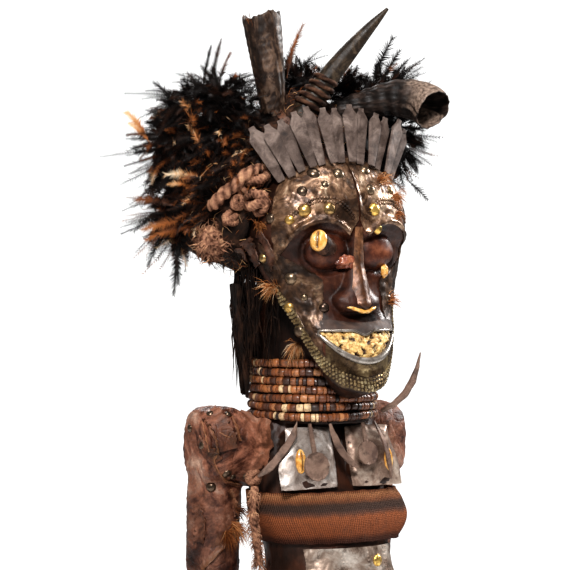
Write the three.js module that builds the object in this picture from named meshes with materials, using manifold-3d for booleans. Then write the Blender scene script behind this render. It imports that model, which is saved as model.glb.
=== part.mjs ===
// A standing power figure: one carved block of dark wood on a round base, dressed with sheet metal and
// brass tacks, a fan of iron blades, three animal horns, a fibre cap with bundles of feathers, strings of
// disc beads, iron pendants, a woven chest band and nailed hide sleeves.
// Millimetres, +Z up. The figure faces -Y, so its own right side is -X. The origin is the centre of the
// underside of the base.
import * as THREE from 'three';
import { mergeVertices } from 'three/addons/utils/BufferGeometryUtils.js';
import Module from 'manifold-3d';

const wasm = await Module();
wasm.setup();

// Driving dimensions
const bodyHeight = 715; // soles to crown, in the carved wood
const baseHeight = 60;
const baseRadius = 106;
const baseEdge = 5; // rounding of the base's rims
const fitGap = 0.5; // left between pieces that touch
const sheetThickness = 1.4; // metal on the face and trunk
const beadRadius = 4.1;
const strandCount = 7;
const strandGap = 0.4;
const bladeCount = 13;
const bladeLength = 61;
const bladeWidth = 17;
const bladeRootWidth = 8.5;
const bladeThickness = 2.2;
const hornWall = 3;
const hornHollow = 62; // how far in from the mouth each open horn is hollow
const uprightHornMouth = 20; // outer radius
const slenderHornRoot = 11.5;
const openHornMouth = 21.5;
const bandHeight = 50;
const bandThickness = 5;
const hideThickness = 2.6;
const pendantThickness = 2.8;
const discRadius = 14.5; // round blade of a spade pendant
const hookRadius = 4.2;
const eyeTubeRadius = 10;
const eyeTubeLength = 24;
const fringeThickness = 5.5;
const featherWidth = 24;
const featherThickness = 3.4;
const cordRadius = 4.4;
const knotRadius = 7.5;

// The carving and its dress are laid out on a grid of 715 steps from the soles to the crown.
const unit = bodyHeight / 715;
const degree = Math.PI / 180;
const at = (x, y, h) => new THREE.Vector3(x * unit, y * unit, baseHeight + h * unit);
const level = (h) => baseHeight + h * unit;

// Smooth value, at one height or share, of a table of [height or share, value] stations.
function along(stations, place) {
  const last = stations.length - 1;
  if (place <= stations[0][0]) return stations[0][1];
  if (place >= stations[last][0]) return stations[last][1];
  const i = stations.findIndex((station) => station[0] > place) - 1;
  const span = (k) => stations[k + 1][0] - stations[k][0];
  const slope = (k) => (stations[k + 1][1] - stations[k][1]) / span(k);
  const tangent = (k) => {
    if (k === 0) return slope(0);
    if (k === last) return slope(last - 1);
    const product = slope(k - 1) * slope(k);
    return product <= 0 ? 0 : (2 * product) / (slope(k - 1) + slope(k));
  };
  const t = (place - stations[i][0]) / span(i);
  const rise = stations[i + 1][1] - stations[i][1];
  const smooth = t * t * (3 - 2 * t);
  const leave = tangent(i) * span(i) * t * (1 - t) * (1 - t);
  const arrive = tangent(i + 1) * span(i) * t * t * (t - 1);
  return stations[i][1] + rise * smooth + leave + arrive;
}

const mix = THREE.MathUtils.lerp;
const power = (value, exponent) => Math.sign(value) * Math.abs(value) ** exponent;

// Closed solids

function solidFrom(points, triangles) {
  const volume = triangles.reduce((sum, [a, b, c]) => {
    const cross = new THREE.Vector3().crossVectors(points[b], points[c]);
    return sum + points[a].dot(cross);
  }, 0);
  const faces = volume < 0 ? triangles.map(([a, b, c]) => [a, c, b]) : triangles;
  const vertProperties = new Float32Array(points.flatMap((p) => [p.x, p.y, p.z]));
  const mesh = new wasm.Mesh({ numProp: 3, vertProperties, triVerts: new Uint32Array(faces.flat()) });
  return new wasm.Manifold(mesh);
}

function solidOf(geometry) {
  const bare = geometry.index ? geometry.toNonIndexed() : geometry.clone();
  const shell = mergeVertices(new THREE.BufferGeometry()
    .setAttribute('position', bare.getAttribute('position')), 1e-3);
  const array = shell.attributes.position.array;
  const points = [];
  for (let i = 0; i < array.length; i += 3) {
    points.push(new THREE.Vector3(array[i], array[i + 1], array[i + 2]));
  }
  const triangles = [];
  const index = shell.index.array;
  for (let i = 0; i < index.length; i += 3) {
    const [a, b, c] = [index[i], index[i + 1], index[i + 2]];
    if (a !== b && b !== c && c !== a) triangles.push([a, b, c]);
  }
  return solidFrom(points, triangles);
}

// A skin over rings of points, closed by its flat first and last ring.
function loft(rings) {
  const count = rings[0].length;
  const points = rings.flat();
  const triangles = [];
  for (let i = 0; i < rings.length - 1; i++) {
    for (let j = 0; j < count; j++) {
      const k = (j + 1) % count;
      const [a, b] = [i * count + j, i * count + k];
      triangles.push([a, b, b + count], [a, b + count, a + count]);
    }
  }
  for (let j = 1; j < count - 1; j++) {
    const last = (rings.length - 1) * count;
    triangles.push([0, j + 1, j], [last, last + j, last + j + 1]);
  }
  return solidFrom(points, triangles);
}

// A bar along a curve. across sets which way its first radius lies.
function limb(path, shape) {
  const { wide, deep = wide, across = new THREE.Vector3(1, 0, 0), sides = 12, steps = 6, square = 2 } = shape;
  const curve = new THREE.CatmullRomCurve3(path);
  const rings = [];
  for (let i = 0; i <= steps; i++) {
    const t = i / steps;
    const middle = curve.getPointAt(t);
    const tangent = curve.getTangentAt(t);
    const side = across.clone().addScaledVector(tangent, -across.dot(tangent)).normalize();
    const up = new THREE.Vector3().crossVectors(tangent, side);
    const ring = [];
    for (let j = 0; j < sides; j++) {
      const turn = ((j + 0.5) / sides) * 2 * Math.PI;
      ring.push(middle.clone()
        .addScaledVector(side, wide(t) * power(Math.cos(turn), 2 / square))
        .addScaledVector(up, deep(t) * power(Math.sin(turn), 2 / square)));
    }
    rings.push(ring);
  }
  return loft(rings);
}

// An ellipsoid whose second radius lies along the direction facing.
function ball(middle, radii, facing = new THREE.Vector3(0, -1, 0), sides = 12, rows = 8) {
  const y = facing.clone().normalize();
  const x = new THREE.Vector3(0, 0, 1).cross(y).negate();
  if (x.length() < 1e-6) x.set(1, 0, 0);
  x.normalize();
  const z = new THREE.Vector3().crossVectors(x, y);
  const turned = new THREE.Matrix4().makeBasis(x, y, z).setPosition(middle);
  const geometry = new THREE.SphereGeometry(1, sides, rows)
    .rotateX(Math.PI / 2)
    .scale(...radii)
    .applyMatrix4(turned);
  return solidOf(geometry);
}

// A thick sheet: place(u, v, out) gives its points, with out 0 on the inner face and 1 on the outer one.
function sheet(columns, rows, place) {
  const across = columns + 1;
  const layer = across * (rows + 1);
  const points = [];
  for (const out of [0, 1]) {
    for (let j = 0; j <= rows; j++) {
      for (let i = 0; i <= columns; i++) points.push(place(i / columns, j / rows, out));
    }
  }
  const triangles = [];
  const quad = (a, b, c, d) => triangles.push([a, b, c], [a, c, d]);
  const id = (i, j, out) => out * layer + j * across + i;
  for (let j = 0; j < rows; j++) {
    for (let i = 0; i < columns; i++) {
      quad(id(i, j, 1), id(i + 1, j, 1), id(i + 1, j + 1, 1), id(i, j + 1, 1));
      quad(id(i, j, 0), id(i, j + 1, 0), id(i + 1, j + 1, 0), id(i + 1, j, 0));
    }
    quad(id(0, j, 0), id(0, j, 1), id(0, j + 1, 1), id(0, j + 1, 0));
    quad(id(columns, j, 1), id(columns, j, 0), id(columns, j + 1, 0), id(columns, j + 1, 1));
  }
  for (let i = 0; i < columns; i++) {
    quad(id(i + 1, 0, 0), id(i + 1, 0, 1), id(i, 0, 1), id(i, 0, 0));
    quad(id(i, rows, 0), id(i, rows, 1), id(i + 1, rows, 1), id(i + 1, rows, 0));
  }
  return solidFrom(points, triangles);
}

function block(low, high, placed = new THREE.Matrix4()) {
  const size = high.clone().sub(low);
  const middle = high.clone().add(low).multiplyScalar(0.5);
  const geometry = new THREE.BoxGeometry(size.x, size.y, size.z).translate(middle.x, middle.y, middle.z);
  return solidOf(geometry.applyMatrix4(placed));
}

const join = (...solids) => solids.flat().reduce((all, next) => all.add(next));
const cut = (solid, ...tools) => tools.flat().reduce((left, tool) => left.subtract(tool), solid);

// What a cut leaves of a piece, without the crumbs beside it.
function mainBody(solid) {
  const bodies = solid.decompose();
  return bodies.reduce((best, next) => (next.volume() > best.volume() ? next : best));
}

// The head: heights are steps above the soles, turns are degrees from straight ahead.

const skullHalfWidth = [[455, 26], [466, 32], [480, 43], [500, 52], [530, 60], [560, 68], [590, 76],
  [630, 83], [660, 78], [685, 61], [702, 38], [715, 8]];
const faceReach = [[455, 58], [466, 70], [476, 75], [500, 73], [530, 67], [552, 54], [580, 49], [612, 49],
  [628, 57], [645, 59], [665, 55], [685, 44], [702, 27], [715, 6]];
const napeReach = [[455, 62], [540, 78], [580, 90], [630, 100], [660, 96], [685, 74], [702, 46], [715, 8]];
const jawHeight = [[0, 464], [20, 470], [40, 492], [61, 530], [86, 570], [100, 595], [180, 598]];
const hairline = [[0, 696], [40, 692], [70, 676], [90, 650]];
const skullSquareness = 2.4;
const jawSoftness = 5;
const neckRadius = 57;
const neckBack = 22; // how far behind the head's axis the neck stands
const headBottom = 438;
const crown = 715;

const eyeTurn = 33;
const eyeHeight = 606;
const browRise = 32; // from the middle of the eye up to the brow
const browHeight = (turn) => eyeHeight + browRise - 21 * ((Math.abs(turn) - eyeTurn) / 29) ** 2;

function headReach(turn, h) {
  const [s, c] = [Math.sin(turn * degree), Math.cos(turn * degree)];
  const neck = -neckBack * c + Math.sqrt(neckRadius ** 2 - (neckBack * s) ** 2);
  const depth = along(c > 0 ? faceReach : napeReach, h);
  const inverse = Math.abs(s / along(skullHalfWidth, h)) ** skullSquareness
    + Math.abs(c / depth) ** skullSquareness;
  const skull = inverse ** (-1 / skullSquareness);
  const above = (h - along(jawHeight, Math.abs(turn))) / jawSoftness;
  const share = THREE.MathUtils.smoothstep(above, -1, 1);
  return Math.max(neck * (1 - share), 0) + skull * share;
}

function headPoint(turn, h, out = 0) {
  const reach = headReach(turn, h) * unit + out;
  return new THREE.Vector3(reach * Math.sin(turn * degree), -reach * Math.cos(turn * degree), level(h));
}

const outward = (turn) => new THREE.Vector3(Math.sin(turn * degree), -Math.cos(turn * degree), 0);

// The point of the face at a sideways distance x from its middle line.
function facePoint(x, h, out = 0) {
  let turn = 0;
  for (let i = 0; i < 12; i++) {
    turn = Math.asin(THREE.MathUtils.clamp(x / headReach(turn, h), -1, 1)) / degree;
  }
  return headPoint(turn, h, out);
}

function headBlock(grow, sides = 22, rows = 12) {
  const rings = [];
  for (let i = 0; i <= rows; i++) {
    const h = headBottom + ((crown - headBottom) * i) / rows;
    const ring = [];
    for (let j = 0; j < sides; j++) ring.push(headPoint((j / sides) * 360 - 180, h, grow));
    ring.forEach((p) => { p.z += grow * (i / rows) ** 4; });
    rings.push(ring);
  }
  return loft(rings);
}

const noseTop = eyeHeight + browRise - 4;
const noseBottom = 550;
const noseStations = [1, 0.6, 0.3, 0.12, 0]; // shares of the way up to its top
const noseHeight = (share) => mix(noseBottom, noseTop, share);
const noseHalfWidth = [[0, 20], [0.12, 26], [0.3, 14], [0.6, 7], [1, 5]];
const noseRidge = [[0, 70], [0.12, 68], [0.3, 64], [0.6, 58], [1, 59]];
const noseFoot = 44;
const ridgeHalfWidth = 3.6;

function nose(grow) {
  const rings = noseStations.map((share) => {
    const wing = along(noseHalfWidth, share) + grow;
    const ridge = along(noseRidge, share) + grow;
    const edge = ridgeHalfWidth + grow;
    const wingFront = Math.min(noseFoot + 10, ridge - 4);
    return [[-wing, 20], [-wing, wingFront], [-edge, ridge], [edge, ridge], [wing, wingFront], [wing, 20]]
      .map(([x, front]) => at(x, -front, noseHeight(share)));
  });
  return loft(rings);
}

function brow(side, grow) {
  const path = [7, 20, 33, 48, 63].map((turn) => headPoint(side * turn, browHeight(turn), 0.5));
  const radius = (t) => (3 + 3.2 * Math.sin(Math.PI * t)) * unit + grow;
  return limb(path, { wide: radius, sides: 5, steps: 5, across: new THREE.Vector3(0, 0, 1) });
}

function socket(side, grow) {
  const middle = headPoint(side * eyeTurn, eyeHeight, 5);
  return ball(middle, [29 * unit - grow, 14 * unit - grow, 22 * unit - grow], outward(side * eyeTurn), 8, 5);
}

function eyelid(side, grow) {
  const middle = headPoint(side * eyeTurn, eyeHeight, -9 * unit);
  return ball(middle, [26 * unit + grow, 17 * unit + grow, 18 * unit + grow], outward(side * eyeTurn), 8, 5);
}

// Mouth: nearly straight above with a small dip in the middle, and a deep smiling curve below.
const mouthHalfWidth = 42;
const mouthBottom = 503;
const mouthTop = 530;
const mouthDip = 5;
const mouthBack = 44;
const mouthCorner = 1; // height left at the corners
const faceClear = 100; // a depth in front of the whole face

const upperLip = (x) => mouthTop - mouthDip * Math.max(0, 1 - Math.abs(x) / 12);
const lowerLip = (x) => mouthBottom + (mouthTop - 2 - mouthBottom) * (Math.abs(x) / mouthHalfWidth) ** 2.2;

function mouthBar(inset, front) {
  const half = mouthHalfWidth - inset / unit;
  const outline = new THREE.Shape();
  const stops = 6;
  for (let i = 0; i <= stops; i++) {
    const x = -half + (2 * half * i) / stops;
    const top = level(upperLip(x)) - inset;
    const y = Math.min(level(lowerLip((x * mouthHalfWidth) / half)) + inset, top - mouthCorner);
    if (i === 0) outline.moveTo(x * unit, y);
    else outline.lineTo(x * unit, y);
  }
  for (const x of [half, 12, 0, -12, -half]) outline.lineTo(x * unit, level(upperLip(x)) - inset);
  const depth = (front - mouthBack) * unit - inset;
  const geometry = new THREE.ExtrudeGeometry(outline, { depth, bevelEnabled: false });
  return solidOf(geometry.rotateX(Math.PI / 2).translate(0, -mouthBack * unit - inset, 0));
}

function underNose(grow) {
  return ball(at(0, -66, 543), [27 * unit - grow, 13 * unit - grow, 7 * unit - grow], undefined, 10, 4);
}

// The neck and its beads
const strandPitch = 2 * beadRadius + strandGap;
const strandSides = 12;
const strandRing = (neckRadius * unit + fitGap) / Math.cos(Math.PI / strandSides) + beadRadius;
const strandStart = level(442) + fitGap + beadRadius;
const strandHeight = (index) => strandStart + index * strandPitch;
const neckMiddle = neckBack * unit;

// Room behind the jaw for the strings of beads.
function beadChannel(grow) {
  const top = strandHeight(strandCount - 1) + beadRadius + fitGap - grow;
  const bottom = strandStart - beadRadius - fitGap + grow;
  const outer = strandRing + beadRadius + 1.2 * fitGap - grow;
  const profile = [[neckRadius * unit + grow - 0.01, bottom], [outer, bottom], [outer, top],
    [neckRadius * unit + grow - 0.01, top], [neckRadius * unit + grow - 0.01, bottom]];
  const geometry = new THREE.LatheGeometry(profile.map(([r, z]) => new THREE.Vector2(r, z)), strandSides);
  return solidOf(geometry.rotateX(Math.PI / 2).translate(0, neckMiddle, 0));
}

// Trunk

const trunkHalfWidth = [[162, 58], [180, 74], [210, 79], [240, 76], [275, 68], [305, 62], [325, 64],
  [345, 70], [370, 72], [410, 73], [440, 66], [454, 50]];
const trunkFront = [[162, -38], [180, -56], [210, -72], [240, -76], [275, -66], [305, -57], [325, -51],
  [345, -45], [370, -32], [410, -21], [440, -8], [454, 4]];
const trunkBack = [[162, 62], [180, 74], [210, 72], [240, 60], [275, 52], [305, 50], [325, 52], [345, 56],
  [370, 60], [395, 70], [410, 80], [440, 84], [454, 72]];
const trunkSquareness = [[162, 2.3], [380, 2.4], [410, 3], [454, 3]];
const trunkSides = 14;
const bandMiddle = 347;
const bandLevels = [-0.5, 0, 0.5].map((share) => bandMiddle + (share * bandHeight) / unit);
const trunkLevels = [162, 186, 216, 248, 272, 296, ...bandLevels, 405, 435, 454];

function trunkPoint(turn, h, out = 0) {
  const [s, c] = [Math.sin(turn * degree), Math.cos(turn * degree)];
  const exponent = 2 / along(trunkSquareness, h);
  const [front, back] = [along(trunkFront, h), along(trunkBack, h)];
  const half = along(trunkHalfWidth, h) * unit + out;
  const depth = ((back - front) / 2) * unit + out;
  const x = half * power(s, exponent);
  const y = ((front + back) / 2) * unit - depth * power(c, exponent);
  return new THREE.Vector3(x, y, level(h));
}

function trunkRing(h, out) {
  return Array.from({ length: trunkSides }, (_, j) => trunkPoint((j / trunkSides) * 360, h, out));
}

const trunk = (grow) => loft(trunkLevels.map((h) => trunkRing(h, grow)));

// Shoulders: one squared bar across the back of the chest.
const yokeEnd = 119;
const yokeStations = [-yokeEnd, -112, -92, 0, 92, 112, yokeEnd];
const yokeHalfHeight = [[0, 34], [62, 34], [92, 36], [112, 35], [yokeEnd, 30]];
const yokeHalfDepth = [[0, 36], [62, 35], [92, 34], [112, 30], [yokeEnd, 22]];
const yokeMiddle = [[0, 408], [62, 409], [92, 417], [yokeEnd, 415]];
const yokeDepth = 52;
const yokeSides = 8;

function yoke(grow) {
  const rings = yokeStations.map((x) => {
    const ring = [];
    const end = Math.abs(x) === yokeEnd ? Math.sign(x) * grow : 0;
    for (let j = 0; j < yokeSides; j++) {
      const turn = ((j + 0.5) / yokeSides) * 2 * Math.PI;
      const high = along(yokeHalfHeight, Math.abs(x)) * unit + grow;
      const deep = along(yokeHalfDepth, Math.abs(x)) * unit + grow;
      ring.push(at(x, yokeDepth, along(yokeMiddle, Math.abs(x))).add(new THREE.Vector3(end,
        deep * power(Math.cos(turn), 2 / 3.2), high * power(Math.sin(turn), 2 / 3.2))));
    }
    return ring;
  });
  return loft(rings);
}

// Shoulder, upper arm, elbow and wrist: the arm bends in one curve.
const armPath = [[93, 52, 430], [93, 60, 370], [93, 63, 310], [92, 58, 262], [90, 34, 240], [84, -10, 238],
  [70, -40, 242]];
const armRadius = [[0, 27], [0.16, 25.5], [0.4, 25], [0.56, 25], [0.75, 22.5], [1, 17]];

function arm(side, grow) {
  const radius = (t) => along(armRadius, t) * unit + grow;
  return limb(armPath.map(([x, y, h]) => at(side * x, y, h)), { wide: radius, sides: 8, steps: 7 });
}

const fingerRadius = 4.9;
const fingerPitch = 9.6;

function hand(side, grow) {
  const palm = limb([at(side * 72, -36, 241), at(side * 60, -56, 243), at(side * 42, -70, 245)], {
    wide: (t) => along([[0, 17], [0.5, 21], [1, 19]], t) * unit + grow,
    deep: () => 9 * unit + grow,
    across: new THREE.Vector3(0, 0, 1),
    sides: 6,
    steps: 2,
    square: 2.6,
  });
  const fingers = [0, 1, 2, 3].map((i) => {
    const h = 258 - i * fingerPitch;
    const path = [at(side * 46, -68, h), at(side * 30, -77, h - 1), at(side * (15 + i), -80, h - 2)];
    return limb(path, {
      wide: () => fingerRadius * unit + grow, sides: 4, steps: 1, across: new THREE.Vector3(0, 0, 1) });
  });
  return join(palm, fingers);
}

// Raised square breast carved on each side of the chest groove.
const breastTilt = 15;
const breastHalfWidth = 26;
const breastHalfHeight = 30;
const breastRise = 13;
const breastPlace = (side) => new THREE.Matrix4().makeRotationX(-breastTilt * degree)
  .setPosition(at(side * 35, -19, 403));

function breast(side, grow) {
  const rings = [[0, 0], [breastRise - 4, 0], [breastRise, 4]].map(([out, inset]) => {
    const [halfWidth, halfHeight] = [breastHalfWidth + 1 - inset, breastHalfHeight + 1 - inset];
    const ring = [];
    for (let j = 0; j < 12; j++) {
      const turn = ((j + 0.5) / 12) * 2 * Math.PI;
      ring.push(new THREE.Vector3((halfWidth * unit + grow) * power(Math.cos(turn), 2 / 4.5),
        -out * unit - (out ? grow : 0), (halfHeight * unit + grow) * power(Math.sin(turn), 2 / 4.5)));
    }
    return ring;
  });
  return loft(rings.map((ring) => ring.map((p) => p.applyMatrix4(breastPlace(side)))));
}

function leg(side, grow) {
  const path = [[40, 12, 190], [43, 0, 130], [46, -8, 100], [46, 8, 58], [45, 12, 20]]
    .map(([x, y, h]) => at(side * x, y, h));
  const radius = (t) => along([[0, 41], [0.3, 35], [0.5, 28], [0.72, 30], [1, 22]], t) * unit + grow;
  return limb(path, { wide: radius, sides: 8, steps: 4 });
}

const footHalfWidth = [[0, 15], [0.15, 21], [0.45, 24], [0.8, 27], [0.96, 24], [1, 19]];
const footHeight = [[0, 22], [0.2, 34], [0.45, 30], [0.8, 16], [0.96, 12], [1, 7]];

// Toes are ripples across the front of the foot.
function foot(side, grow) {
  const rings = [0, 0.15, 0.45, 0.8, 1].map((t) => {
    const halfWidth = along(footHalfWidth, t) * unit + grow;
    const high = along(footHeight, t) * unit + grow;
    const toe = t > 0.7 ? 0.2 : 0;
    const middle = at(side * (44 + 6 * t), 42 - 112 * t, 0);
    const ring = [[-1, -2 / high], [1, -2 / high]];
    for (let i = 0; i <= 8; i++) {
      const turn = (i / 8) * Math.PI;
      ring.push([Math.cos(turn), 0.25 + 0.75 * Math.sin(turn) - (i % 2) * toe]);
    }
    return ring.map(([x, z]) => middle.clone().add(new THREE.Vector3(x * halfWidth, 0, z * high)));
  });
  return loft(rings);
}

function base() {
  const profile = new THREE.Path().moveTo(0, 0).lineTo(baseRadius - baseEdge, 0);
  profile.quadraticCurveTo(baseRadius, 0, baseRadius, baseEdge);
  profile.lineTo(baseRadius, baseHeight - baseEdge);
  profile.quadraticCurveTo(baseRadius, baseHeight, baseRadius - baseEdge, baseHeight);
  profile.lineTo(0, baseHeight);
  const turned = new THREE.LatheGeometry(profile.getPoints(1), 24);
  return solidOf(turned.rotateX(Math.PI / 2));
}

// The carving, or the same grown outwards, which leaves room around it for what is nailed on.
const bothSides = [-1, 1];

function carvedHead(grow) {
  const head = join(headBlock(grow), nose(grow), bothSides.map((side) => brow(side, grow)));
  const sockets = bothSides.map((side) => socket(side, grow));
  const hollowed = cut(head, sockets, underNose(grow), mouthBar(grow, faceClear));
  return join(hollowed, bothSides.map((side) => eyelid(side, grow)));
}

function carvedBody(grow) {
  const sized = (radii) => radii.map((radius) => radius * unit + grow);
  const buttock = (side) => ball(at(side * 33, 48, 192), sized([38, 34, 38]), undefined, 8, 5);
  const navel = ball(at(0, -74, 226), sized([9, 9, 9]), undefined, 6, 4);
  return join(trunk(grow), yoke(grow), navel, bothSides.flatMap((side) => [arm(side, grow), hand(side, grow),
    breast(side, grow), buttock(side), leg(side, grow), foot(side, grow)]));
}

const wood = mainBody(join(cut(join(carvedHead(0), carvedBody(0)), beadChannel(0)), base()));
const headRoom = carvedHead(fitGap);
const bodyRoom = carvedBody(fitGap);

// What is nailed on the face and trunk lies a little clear of the facets of the wood below.
const sheetLift = fitGap + 0.7;

function headSheet(columns, rows, place) {
  return sheet(columns, rows, (u, v, out) => headPoint(...place(u, v), sheetLift + out * sheetThickness));
}

function foreheadPlate(side) {
  return headSheet(6, 5, (u, v) => {
    const turn = mix(1.4, 66, u);
    const foot = Math.max(browHeight(turn) + 8, noseTop + 7 - 1.5 * turn);
    return [side * turn, mix(foot, along(hairline, turn) - 2, v)];
  });
}

const beardTop = 20; // above the edge of the jaw

function cheekPlate(side) {
  return headSheet(4, 4, (u, v) => {
    const turn = mix(42, 84, u);
    return [side * turn, mix(along(jawHeight, turn) + beardTop + 3, eyeHeight + mix(-28, 6, u), v)];
  });
}

function beardPlate() {
  return headSheet(18, 1, (u, v) => {
    const turn = mix(-74, 74, u);
    return [turn, along(jawHeight, Math.abs(turn)) + mix(8, beardTop, v)];
  });
}

function upperLipPlate() {
  const half = mouthHalfWidth - 3;
  const plate = sheet(8, 1, (u, v, out) => {
    const x = mix(-half, half, u);
    const h = mix(upperLip(x) + 1.5, mouthTop + 6 + 6 * (x / half) ** 2, v);
    return facePoint(x, h, sheetLift + out * sheetThickness * 1.6);
  });
  return mainBody(cut(plate, headRoom));
}

const lipRadius = (t) => (1.6 + 1.8 * Math.sin(Math.PI * t)) * unit;

function lowerLipRim() {
  const half = mouthHalfWidth + 1;
  const path = [];
  for (let i = 0; i <= 10; i++) {
    const x = mix(-half, half, i / 10);
    const h = lowerLip(Math.min(Math.abs(x), mouthHalfWidth)) - 4;
    path.push(facePoint(x, h, sheetLift + lipRadius(i / 10)));
  }
  return limb(path, { wide: lipRadius, sides: 5, steps: 8, across: new THREE.Vector3(0, 0, 1) });
}

function mouthPacking() {
  const rings = headBlock(-2.6 * unit);
  return mainBody(mouthBar(fitGap, faceClear).intersect(rings));
}

function noseStrip() {
  const rings = [...noseStations].reverse().slice(1).map((share) => {
    const ridge = along(noseRidge, share) * unit + fitGap;
    const z = level(noseHeight(share));
    return [[-5.2, 0], [5.2, 0], [5.2, 1], [-5.2, 1]]
      .map(([x, out]) => new THREE.Vector3(x * unit, -ridge - out * sheetThickness, z));
  });
  return mainBody(cut(loft(rings), headRoom));
}

// Its edges are hammered back over the rounded rim of the breast.
function breastPlate(side) {
  const stops = [-1, -0.86, 0.86, 1];
  return sheet(3, 3, (u, v, out) => {
    const [a, b] = [stops[Math.round(u * 3)], stops[Math.round(v * 3)]];
    const fall = Math.abs(a) === 1 || Math.abs(b) === 1 ? 3.2 : 0;
    const corner = Math.abs(a * b) === 1 ? 0.94 : 1;
    return new THREE.Vector3(breastHalfWidth * a * corner, fall - breastRise, breastHalfHeight * b * corner)
      .multiplyScalar(unit)
      .add(new THREE.Vector3(0, -sheetLift - out * sheetThickness, 0))
      .applyMatrix4(breastPlace(side));
  });
}

const bellyPlate = () => sheet(6, 3, (u, v, out) => trunkPoint(mix(-46, 46, u), mix(268, 314, v),
  sheetLift + out * sheetThickness));

// Eyes

const tubeRoot = headPoint(-eyeTurn, eyeHeight + 5, 2 * unit);
const tubeWay = new THREE.Vector3(-0.75, -0.6, 0.27).normalize();
const tubePoint = (share) => tubeRoot.clone().addScaledVector(tubeWay, eyeTubeLength * share);
const tubeEnd = tubePoint(1).addScaledVector(tubeWay, fitGap);

function eyeTube() {
  const tube = limb([tubePoint(-0.2), tubePoint(0.4), tubePoint(1)], {
    wide: (t) => eyeTubeRadius * (1.08 - 0.12 * t), sides: 8, steps: 1 });
  return mainBody(cut(tube, headRoom));
}

// A shell with a split down its face, its back flat on what holds it.
function shell(middle, facing, radius) {
  const whole = ball(middle, [radius, radius * 0.62, radius * 1.15], facing, 8, 4);
  const turned = new THREE.Quaternion().setFromUnitVectors(new THREE.Vector3(0, 1, 0), facing);
  const placed = new THREE.Matrix4().compose(middle, turned, new THREE.Vector3(radius, radius, radius));
  const behind = block(new THREE.Vector3(-2, -4, -2), new THREE.Vector3(2, 0, 2), placed);
  const groove = block(new THREE.Vector3(-0.1, 0.42, -0.85), new THREE.Vector3(0.1, 1, 0.85), placed);
  return cut(whole, behind, groove);
}

const resinTurn = -11;
const resinBall = ball(headPoint(resinTurn, eyeHeight - 10, 3), [10 * unit, 8 * unit, 8 * unit],
  outward(resinTurn), 6, 3);
const leftShellTurn = 40;
const leftShellBall = ball(headPoint(leftShellTurn, eyeHeight - 16, 3), [5 * unit, 5 * unit, 8 * unit],
  outward(leftShellTurn), 5, 4);

// Horns: t runs from the root, which is stuck in the cap, to the tip or mouth.

const uprightPath = [[-46, 20, 690], [-51, 21, 770], [-61, 24, 846]].map((p) => at(...p));
const slenderPath = [[-27, 4, 742], [-2, -12, 784], [24, -30, 822], [46, -43, 850]].map((p) => at(...p));
const openPath = [[2, 28, 742], [36, 4, 754], [66, -26, 763], [83, -50, 758], [86, -66, 749]]
  .map((p) => at(...p));
const hornAcross = new THREE.Vector3(0, 1, 0.2);
const uprightRadius = (t) => uprightHornMouth * along([[0, 0.42], [0.4, 0.66], [0.75, 0.9], [1, 1]], t);
const slenderRadius = (t) => slenderHornRoot * along([[0, 1], [0.5, 0.68], [1, 0.1]], t);
const openRadius = (t) => openHornMouth * along([[0, 0.4], [0.45, 0.7], [0.85, 0.98], [1, 1]], t);

function horn(path, radius, grow, steps) {
  return limb(path, { wide: (t) => radius(t) + grow, sides: 8, steps, across: hornAcross });
}

// A horn with a bore from the mouth, narrowing inwards
function openHorn(path, radius, steps) {
  const curve = new THREE.CatmullRomCurve3(path);
  const share = hornHollow / curve.getLength();
  const inner = [];
  for (let i = 0; i <= 3; i++) inner.push(curve.getPointAt(1 - share + (share * i) / 3));
  const mouth = curve.getTangentAt(1).multiplyScalar(2).add(curve.getPointAt(1));
  const inside = (t) => radius(1 - share + share * t) - hornWall;
  const taper = (t) => inside(t) * along([[0, 0.45], [0.4, 1], [1, 1]], t);
  const bore = limb([...inner, mouth], { wide: taper, sides: 8, steps: 2, across: hornAcross });
  return mainBody(cut(horn(path, radius, 0, steps), bore, headRoom));
}

const hornRoom = join(
  horn(uprightPath, uprightRadius, fitGap, 5),
  horn(slenderPath, slenderRadius, fitGap, 5),
  horn(openPath, openRadius, fitGap, 6),
);

// Fibre cap around the sides, back and top of the head

const capMiddle = -16;
const capHalfWidth = [[578, 62], [600, 92], [640, 112], [690, 106], [720, 82], [745, 52], [768, 14]];
const capFront = [[578, 20], [600, 2], [625, -12], [650, -20], [685, -24], [710, -20], [740, -8],
  [768, 10]];
const capBottom = 578;
const capTop = 768;
const capBack = [[578, 98], [600, 114], [640, 128], [690, 122], [720, 98], [745, 62], [768, 26]];
const capRipple = 6;
const capEase = 3.8; // slack between the cap and the skull

function cap(grow) {
  const [sides, rows] = [12, 5];
  const rings = [];
  for (let i = 0; i <= rows; i++) {
    const h = mix(capBottom, capTop, i / rows);
    const [front, back] = [along(capFront, h), along(capBack, h)];
    const ring = [];
    for (let j = 0; j < sides; j++) {
      const turn = (j / sides) * 2 * Math.PI;
      const ripple = capRipple * ((i + j) % 2 ? 1 : -1) * Math.sin((Math.PI * i) / rows);
      const half = along(capHalfWidth, h) * unit + grow + ripple * unit;
      const deep = ((back - front) / 2) * unit + grow + ripple * unit;
      ring.push(new THREE.Vector3(capMiddle * unit + half * power(Math.sin(turn), 0.87),
        ((front + back) / 2) * unit - deep * power(Math.cos(turn), 0.87), level(h)));
    }
    rings.push(ring);
  }
  return loft(rings);
}

// Iron blades stand in a fan along the hairline.

function bladeOutline(length) {
  const [root, wide, tang] = [bladeRootWidth / 2, bladeWidth / 2, bladeWidth / 5];
  const outline = new THREE.Shape();
  outline.moveTo(-root, 0);
  outline.lineTo(root, 0);
  outline.lineTo(wide, length * 0.8);
  outline.lineTo(tang, length * 0.93);
  outline.lineTo(tang, length);
  outline.lineTo(-tang, length);
  outline.lineTo(-tang, length * 0.93);
  outline.lineTo(-wide, length * 0.8);
  return outline;
}

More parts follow.
